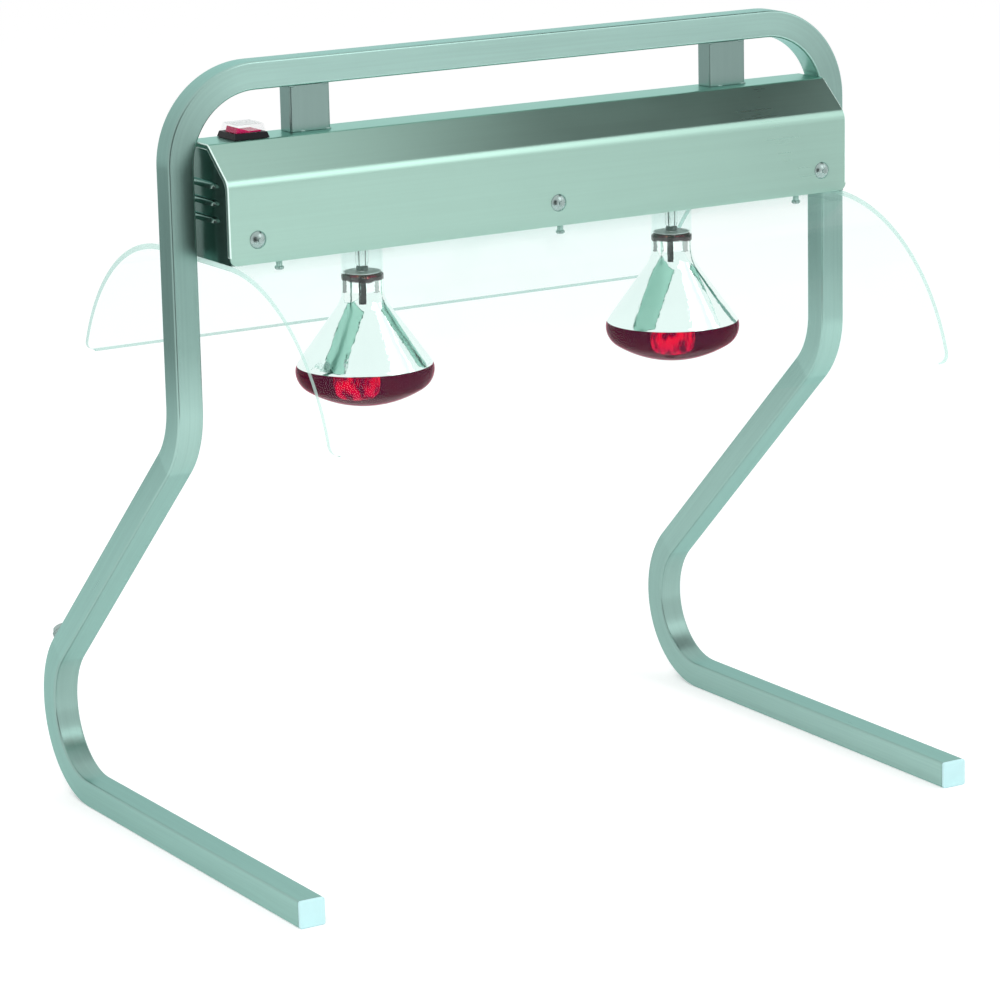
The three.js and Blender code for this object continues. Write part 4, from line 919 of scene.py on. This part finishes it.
def make_guard():
    low, high = GUARD_LOW, GUARD_HIGH
    inside = GUARD_RADIUS - GUARD_SHEET
    front_arc = math.acos((low.z - GUARD_CENTRE_Z) / inside)
    rear_arc = math.acos((low.z + GUARD_REAR_RISE - GUARD_CENTRE_Z) / inside)
    sheet = primitive("arch", "plane", size=1, location=(0, GUARD_Y, high.z))
    sheet.scale = (high.x - low.x, GUARD_FLAT, 1)
    apply_place()
    with editing(sheet):
        pick("EDGE", lambda edge, at: at.y < GUARD_FRONT_Y + SLACK)
        turn(front_arc, (0, GUARD_FRONT_Y, GUARD_CENTRE_Z), X_AXIS, 36)
        pick("EDGE", lambda edge, at: at.y > GUARD_REAR_Y - SLACK and at.z > high.z - SLACK)
        turn(-rear_arc, (0, GUARD_REAR_Y, GUARD_CENTRE_Z), X_AXIS, 36)
        tidy_mesh()
    finish_with(sheet, "SOLIDIFY", thickness=GUARD_SHEET, offset=-1, use_even_offset=True)
    front_low = GUARD_CENTRE_Z + GUARD_RADIUS * math.cos(front_arc)
    rear_low = GUARD_CENTRE_Z + GUARD_RADIUS * math.cos(rear_arc)
    for side in (-1, 1):
        lamp = Vector((side * abs(BULB_X), LAMP_Y, high.z))
        carve(
            sheet,
            rod("lamp_hole", lamp - CUT_REACH, lamp + CUT_REACH, GUARD_HOLE, 64),
            guard_corner(side, front_low, low.y - 2 * MM, GUARD_FRONT_Y),
            guard_corner(side, rear_low, GUARD_REAR_Y, high.y + 2 * MM),
        )
    for spot in guard_screw_spots().values():
        carve(sheet, rod("screw_hole", spot - CUT_REACH, spot + CUT_REACH, 2.8 * MM, 20))
    soften(sheet, 0.35 * MM, 2, 40)
    sheet.data.materials.append(clear_arch)
    sheet.data.materials.append(arch_edge)
    for face in sheet.data.polygons:
        face.material_index = int(abs(face.normal.dot(across_the_sheet(face.center))) < 0.8)
    smooth(sheet, 30)
    return settled(sheet, "lamp", None, "guard")


def guard_screw_spots():
    """Node name and place of each screw that holds the guard."""
    spots = {}
    for name in (f"guard_screw_{side}_{third}" for side in SIDES for third in THIRDS):
        low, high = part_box(name)
        spots[name] = Vector(((low.x + high.x) / 2, (low.y + high.y) / 2, GUARD_HIGH.z))
    return spots


RIDGE_SIDES = 40  # sides of a guard screw's head, each second one a ridge


def make_guard_screws():
    """Small knurled heads under the guard."""
    spots = guard_screw_spots()
    low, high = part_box(next(iter(spots)))
    middle = Vector(((low.x + high.x) / 2, (low.y + high.y) / 2, 0))
    head, top = (high.x - low.x) / 2, GUARD_HIGH.z - GUARD_SHEET - GAP
    ridge_low, ridge_high = low.z + 0.8 * MM, top - 0.5 * MM
    profile = [
        (0, low.z), (head - 1 * MM, low.z), (head - 0.2 * MM, ridge_low), (head - 0.2 * MM, ridge_high),
        (head - 0.6 * MM, top), (2.5 * MM, top), (2.5 * MM, high.z), (0, high.z),
    ]
    screw = turned("guard_screw", profile, middle, Z_AXIS, RIDGE_SIDES)
    with editing(screw):
        # every other side of the head is raised into a ridge
        def on_ridge(face, at):
            x, y = at.x - middle.x, at.y - middle.y
            around = math.atan2(y, x) / (2 * math.pi) * RIDGE_SIDES
            upright = abs(face.normal.z) < 0.1 and ridge_low < at.z < ridge_high
            return upright and math.hypot(x, y) > 3.5 * MM and math.floor(around) % 2 == 0

        pick("FACE", on_ridge)
        bpy.ops.mesh.inset(thickness=0.08 * MM, depth=0.2 * MM, use_individual=True)
    smooth(screw, 25)
    for name, spot in spots.items():
        shift = Matrix.Translation((spot.x - middle.x, spot.y - middle.y, 0))
        settled(copied(screw, f"arch_{name}", shift), "lamp", screw_steel_painted_shade, name)
    bpy.data.objects.remove(screw)


# Bulbs


def bulb_side(inset, steps):
    """Half outline of the glass, moved in by inset, as (radius, height over the face's bottom)."""
    below = math.asin((BULB_RADIUS - EDGE_BELOW) / (FACE_RADIUS - EDGE_BELOW))
    widest = FACE_RADIUS - (FACE_RADIUS - EDGE_BELOW) * math.cos(below)
    face_end = math.degrees(below) - 90
    mirror_start = math.degrees(math.asin((MIRROR_EDGE - widest) / EDGE_ABOVE))
    # the neck's blend touches the cone and the neck from outside
    sine, cosine = math.sin(math.radians(CONE)), math.cos(math.radians(CONE))
    blend_r = NECK_RADIUS + NECK_BLEND
    reach = (BULB_RADIUS - EDGE_ABOVE) * cosine + widest * sine + EDGE_ABOVE
    blend_z = (reach + NECK_BLEND - blend_r * cosine) / sine
    above = (BULB_RADIUS - EDGE_ABOVE, widest)
    throat, seat = THROAT_RADIUS - inset, THROAT_RADIUS - 1.1 * MM - inset
    return [
        *arc((0, FACE_RADIUS), FACE_RADIUS - inset, -90, face_end, 2 * steps),
        *arc((BULB_RADIUS - EDGE_BELOW, widest), EDGE_BELOW - inset, face_end, 0, 2 * steps)[1:],
        *arc(above, EDGE_ABOVE - inset, 0, mirror_start, steps)[1:],
        *arc(above, EDGE_ABOVE - inset, mirror_start, CONE, steps)[1:],
        *arc((blend_r, blend_z), NECK_BLEND + inset, 180 + CONE, 180, 2 * steps),
        *arc((NECK_RADIUS - SHOULDER, SHOULDER_RISE), SHOULDER - inset, 0, 60, steps),
        (throat, THROAT_RISE), (throat, THROAT_RISE + 1.3 * MM), (seat, SEAT_RISE),
        (seat, BULB_HIGH.z - BULB_LOW.z),
    ]


LEFT_GLOW_SHIFT = Matrix.Translation((-6.5 * MM, 4 * MM, 0))  # the left bulb's glow dome, partly painted glow, sits off the middle


def make_bulbs():
    outer, inner = bulb_side(0, 5), bulb_side(GLASS_WALL, 3)
    origin = Vector((BULB_X, LAMP_Y, BULB_LOW.z))
    bulb = turned("envelope_left", [*outer, *reversed(inner)], origin, Z_AXIS, 80)
    for finish in (ruby, mirror, neck_coat):
        bulb.data.materials.append(finish)
    for face in bulb.data.polygons:
        rise = face.center.z - BULB_LOW.z
        face.material_index = 0 if rise < MIRROR_EDGE else 1 if rise < NECK_START else 2
    smooth(bulb, 60)
    # a glowing dome for the lit coil as it shows through the face: partly the coil's own light, partly
    # painted glow for its reflections in the mirror
    glow = turned("glow_left", [
        (0, 5 * MM), (9 * MM, 5 * MM), (16 * MM, 6.5 * MM), (19.5 * MM, 10 * MM), (21 * MM, 18 * MM),
        (20.5 * MM, 27 * MM), (18.5 * MM, 33 * MM), (12 * MM, 36 * MM), (0, 37 * MM),
    ], origin, Z_AXIS, 48)
    smooth(glow, 60)
    # wires in the stem and the clamp under its pinch
    stem_low, stem_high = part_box("bulb_stem_left")
    _, shield_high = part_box("bulb_shield_left")
    wires = [
        rod(f"wire_{side}", origin + Vector((side * 2 * MM, 0, stem_low.z + 1 * MM - origin.z)),
            origin + Vector((side * 2.6 * MM, 0, stem_high.z - 2 * MM - origin.z)), 0.35 * MM, 10)
        for side in (-1, 1)
    ]
    clamp = turned("clamp", [
        (4.3 * MM, 0), (5.4 * MM, 0.3 * MM), (5.4 * MM, 3.6 * MM), (4.8 * MM, 4.4 * MM), (4.3 * MM, 4.6 * MM),
        (4.3 * MM, 0),
    ], Vector((BULB_X, LAMP_Y, shield_high.z + 0.4 * MM)), Z_AXIS, 32)
    inside = merge_pieces(*wires, clamp)
    smooth(inside, 40)
    for piece, name, finish, nodes in (
        (bulb, "envelope", None, ("bulb_glass",)),
        (glow, "glow", coil_glow, ()),
        (inside, "stem_wires", dark_wire, ()),
    ):
        twin = copied(piece, f"{name}_right", TO_RIGHT_BULB)
        piece.name = piece.data.name = f"{name}_left"
        if name == "glow":
            piece.data.transform(LEFT_GLOW_SHIFT)
        settled(piece, "bulb_left", finish, *(f"{node}_left" for node in nodes))
        settled(twin, "bulb_right", finish, *(f"{node}_right" for node in nodes))
        if not nodes:
            for part in (piece, twin):
                SLOT_OF["bulb_filament_left" if name == "glow" else "gland_nut"]


def make_filaments():
    """A coiled ring between two wires that come down from the stem."""
    low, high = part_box("bulb_filament_left")
    centre = Vector((BULB_X, LAMP_Y, 0))
    ring, wire_reach, level, turns, sides = 15.5 * MM, 1.2 * MM, low.z + 1.6 * MM, 46, 8
    points = []
    for i in range(turns * sides + 1):
        around = 0.35 + (2 * math.pi - 0.7) * i / (turns * sides)
        coil = 2 * math.pi * i / sides
        reach, rise = ring + wire_reach * math.cos(coil), level + wire_reach * math.sin(coil)
        points.append(Vector((reach * math.cos(around), reach * math.sin(around), rise)))
    legs = [Vector((side * 1.5 * MM, 0, high.z)) for side in (1, -1)]
    drop = Z_AXIS * 12 * MM
    points = [legs[0], legs[0] - drop, *points, legs[1] - drop, legs[1]]
    curve = bpy.data.curves.new("coil_left", "CURVE")
    curve.dimensions = "3D"
    curve.bevel_depth = 0.3 * MM
    curve.bevel_resolution = 1
    curve.use_fill_caps = True
    spline = curve.splines.new("POLY")
    spline.points.add(len(points) - 1)
    for spot, point in zip(spline.points, points):
        spot.co = (*(point + centre), 1)
    wire = bpy.data.objects.new("coil_left", curve)
    bpy.context.collection.objects.link(wire)
    only(wire)
    bpy.ops.object.convert(target="MESH")
    wire = bpy.context.object
    only(wire)
    bpy.ops.object.shade_smooth()
    paired(wire, "coil", TO_RIGHT_BULB, "bulb_{}", filament_glow, "bulb_filament")


# Gland

GLAND_BORE = 3.6 * MM
GLAND_REACH = 8 * MM  # of its thread below the seat


def make_gland():
    normal = Vector((0, math.cos(LEAN), math.sin(LEAN)))
    seat = REAR_CENTRE + normal * (BEND + HALF_TUBE)
    profile = [
        (GLAND_BORE, -GLAND_REACH), (6 * MM, -GLAND_REACH), (6 * MM, GAP), (9.3 * MM, GAP),
        (9.9 * MM, 0.9 * MM), (9.9 * MM, 5.6 * MM), (9.4 * MM, 6.4 * MM), (8.6 * MM, 6.8 * MM),
        (8.4 * MM, 9.2 * MM),
        *arc((6.6 * MM, 8.8 * MM), 1.8 * MM, 20, 90, 4), (4.4 * MM, 10.6 * MM), (GLAND_BORE, 9.8 * MM),
        (GLAND_BORE, -GLAND_REACH),
    ]
    gland = turned("cord_gland", profile, seat, normal, 48)
    with editing(gland):
        # each side of the grip is sunk a little between its edges
        def on_grip(face, at):
            off = at - seat
            height = off.dot(normal)
            return 0.9 * MM < height < 5.6 * MM and (off - normal * height).length > 9.5 * MM

        pick("FACE", on_grip)
        bpy.ops.mesh.inset(thickness=0.12 * MM, depth=-0.25 * MM, use_individual=True)
    smooth(gland, 30)
    return settled(gland, "lamp", screw_steel_painted_shade, "cable_gland")


# Switch cover

COVER_WALL = 0.9 * MM


def make_switch_cover():
    low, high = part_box("switch_cover")
    cover = block("splash_cover", low, high)
    middle = (low + high) / 2
    with editing(cover):
        pick("VERT", lambda vertex, at: at.z > middle.z)
        bpy.ops.transform.resize(value=(0.9, 0.9, 1), center_override=(middle.x, middle.y, high.z))
        pick("FACE", lambda face, at: face.normal.z < -ALIGNED)
        bpy.ops.mesh.delete(type="FACE")
        pick("EDGE", lambda edge, at: runs_along(edge, Z_AXIS))
        bevel(1.6 * MM, 4)
        pick("EDGE", lambda edge, at: at.z > high.z - SLACK and not edge.is_boundary)
        bevel(0.9 * MM, 3)
    finish_with(cover, "SOLIDIFY", thickness=COVER_WALL, offset=-1)
    cover.data.materials.append(clear_cover)
    cover.data.materials.append(cover_top)
    for face in cover.data.polygons:
        face.material_index = int(face.normal.z > ALIGNED and face.center.z > high.z - 0.2 * MM)
    smooth(cover, 40)
    return settled(cover, "lamp", None, "switch_cover")


make_stand()
make_foot_caps()
make_posts()
make_housing()
make_skirt_screws()
make_guard()
make_guard_screws()
make_bulbs()
make_filaments()
make_gland()
make_switch_cover()

# node, piece, body, finish, width of the softened edges in millimetres, angle from which an edge is sharp
FITTED_TWICE = (
    ("end_plate", "end_panel", "lamp", end_steel_painted_shade, 0.2, 40),
    ("holder_body", "holder", "lamp", ceramic, 0.3, 30),
    ("holder_sleeve", "sleeve", "lamp", brass, 0, 30),
    ("holder_contact", "contact", "lamp", brass, 0.1, 30),
    ("holder_bracket", "bracket", "lamp", band_steel, 0.15, 30),
    ("bulb_cap", "screw_cap", "bulb_base_{}", plated, 0, 30),
    ("bulb_stem", "glass_stem", "bulb_{}", stem_glass, 0.3, 30),
    ("bulb_shield", "heat_disc", "bulb_{}", heat_disc, 0.05, 30),
)
for side in ("left", "right"):
    for node, name, body, finish, edge, angle in FITTED_TWICE:
        dressed(f"{node}_{side}", f"{name}_{side}", body.format(side), finish, edge * MM, angle)
    dressed(f"lead_{side}_live", f"live_wire_{side}", "lamp", brown_lead, 0, 60)
    dressed(f"lead_{side}_neutral", f"neutral_wire_{side}", "lamp", blue_lead, 0, 60)

dressed("lamp_tray", "tray", "lamp", sheet_steel, 0.2 * MM)
dressed("switch_body", "switch_bezel", "lamp", black_plastic, 0.35 * MM)
dressed("switch_rocker", "rocker_paddle", "rocker", red_plastic, 0.5 * MM)
dressed("terminal_block", "wire_block", "lamp", ceramic, 0.2 * MM)
dressed("lead_switch_live", "live_wire_switch", "lamp", brown_lead, 0, 60)
dressed("lead_switch_neutral", "neutral_wire_switch", "lamp", blue_lead, 0, 60)
dressed("gland_nut", "lock_nut", "lamp", plated, 0.2 * MM)


# Studio

AMBIENT = 0.8  # light of the surroundings on the object
FLOOR_SIZE = 14.0
FLOOR_LIFT = 0.3  # glow of the floor where it is looked at
CAMERA_AZIMUTH = math.radians(31.06)
CAMERA_HEIGHT = math.radians(13.65)
CAMERA_ROLL = math.radians(-1.24)
CAMERA_DISTANCE = 3.812
CAMERA_LENS = 148.67
CAMERA_SENSOR = 36
CAMERA_TARGET = Vector((-24.26 * MM, LEG_Y, 290.9 * MM))


def make_camera():
    back = Vector((
        -math.sin(CAMERA_AZIMUTH) * math.cos(CAMERA_HEIGHT),
        -math.cos(CAMERA_AZIMUTH) * math.cos(CAMERA_HEIGHT),
        math.sin(CAMERA_HEIGHT),
    ))
    level = (-back).cross(Z_AXIS).normalized()
    upright = level.cross(-back)
    right = level * math.cos(CAMERA_ROLL) + upright * math.sin(CAMERA_ROLL)
    up = upright * math.cos(CAMERA_ROLL) - level * math.sin(CAMERA_ROLL)
    data = bpy.data.cameras.new("camera")
    data.lens, data.sensor_width = CAMERA_LENS, CAMERA_SENSOR
    data.clip_start, data.clip_end = 0.1, 60
    camera = bpy.data.objects.new("camera", data)
    bpy.context.collection.objects.link(camera)
    turned_to = Matrix((right, up, back)).transposed().to_4x4()
    camera.matrix_world = Matrix.Translation(CAMERA_TARGET + back * CAMERA_DISTANCE) @ turned_to
    bpy.context.scene.camera = camera


def seen_directly(f):
    """1 for what the camera, a gloss or clear glass sees, 0 for what lights the object."""
    rays = ("Camera", "Glossy", "Transmission")
    camera, gloss, glass = (f.node("ShaderNodeLightPath", out=f"Is {ray} Ray") for ray in rays)
    return camera.math("MAXIMUM", gloss).math("MAXIMUM", glass)


def make_world():
    world = bpy.data.worlds.new("studio")
    bpy.context.scene.world = world
    f = Finish(world)
    strength = seen_directly(f) * (1 - AMBIENT) + AMBIENT
    light = f.node("ShaderNodeBackground", {"Color": WHITE, "Strength": strength})
    output = f.tree.nodes.new("ShaderNodeOutputWorld")
    f.tree.links.new(light.socket, output.inputs["Surface"])


def make_floor():
    floor = primitive("floor", "plane", size=FLOOR_SIZE, location=(0, 0, -0.2 * MM))
    f = new_finish("floor")
    shade = f.node("ShaderNodeBsdfDiffuse", {"Color": (0.86, 0.86, 0.86)})
    lift = f.lit(seen_directly(f) * FLOOR_LIFT)
    floor.data.materials.append(f.close(f.node("ShaderNodeAddShader", {0: shade, 1: lift})))


def aimed(place, aim, front):
    """Stands something at a place with its front axis towards the aim."""
    way = Vector(aim) - Vector(place)
    return Matrix.Translation(place) @ way.to_track_quat(front, "Y").to_matrix().to_4x4()


def make_lamp(name, place, aim, width, height, power):
    data = bpy.data.lights.new(name, "AREA")
    data.shape, data.size, data.size_y, data.energy = "RECTANGLE", width, height, power
    lamp = bpy.data.objects.new(name, data)
    bpy.context.collection.objects.link(lamp)
    lamp.matrix_world = aimed(place, aim, "-Z")
    lamp.visible_glossy = False


def make_card(name, place, aim, width, height, tone, stripe=None):
    """A card that only the glossy surfaces see; it can have a stripe of another tone across it."""
    card = primitive(name, "plane", size=1)
    card.data.transform(aimed(place, aim, "Z") @ Matrix.Diagonal((width, height, 1, 1)))
    f = new_finish(name)
    share = f.axis("X").ramp(0.65, 1.25) * (1 - f.axis("X").ramp(1.38, 1.55))
    card.data.materials.append(f.close(f.mix(share, f.lit(tone), f.lit(stripe or tone))))
    card.visible_camera = card.visible_diffuse = card.visible_transmission = card.visible_shadow = False


make_camera()
make_world()
make_floor()
make_lamp("key", (-1.6, -2.2, 2.4), (0, 0, 0.4), 1.4, 1.4, 40)
make_lamp("fill", (2.2, -1.6, 1.6), (0, 0, 0.4), 1.2, 1.2, 16)
make_card("overhead_card", (1.2, -0.05, 2.1), (1.2, -0.05, 3), 0.95, 1.3, 0.04)
make_card("camera_card", (-0.9, -1.25, 0.7), (0, 0.1, 0.7), 1.0, 1.4, 0.06)
make_card("softbox", (1.0, -1.15, 1.65), (0, 0.2, 0.1), 1.6, 0.95, 2.3, 1.1)
make_card("front_card", (2.9, -2.3, 0.01), (2.9, -2.3, 1), 2.6, 2.6, 0.55)
make_card("left_card", (-1.9, 2.7, 0.01), (-1.9, 2.7, 1), 2.2, 2.2, 0.35)
bpy.context.scene.view_settings.view_transform = "Standard"
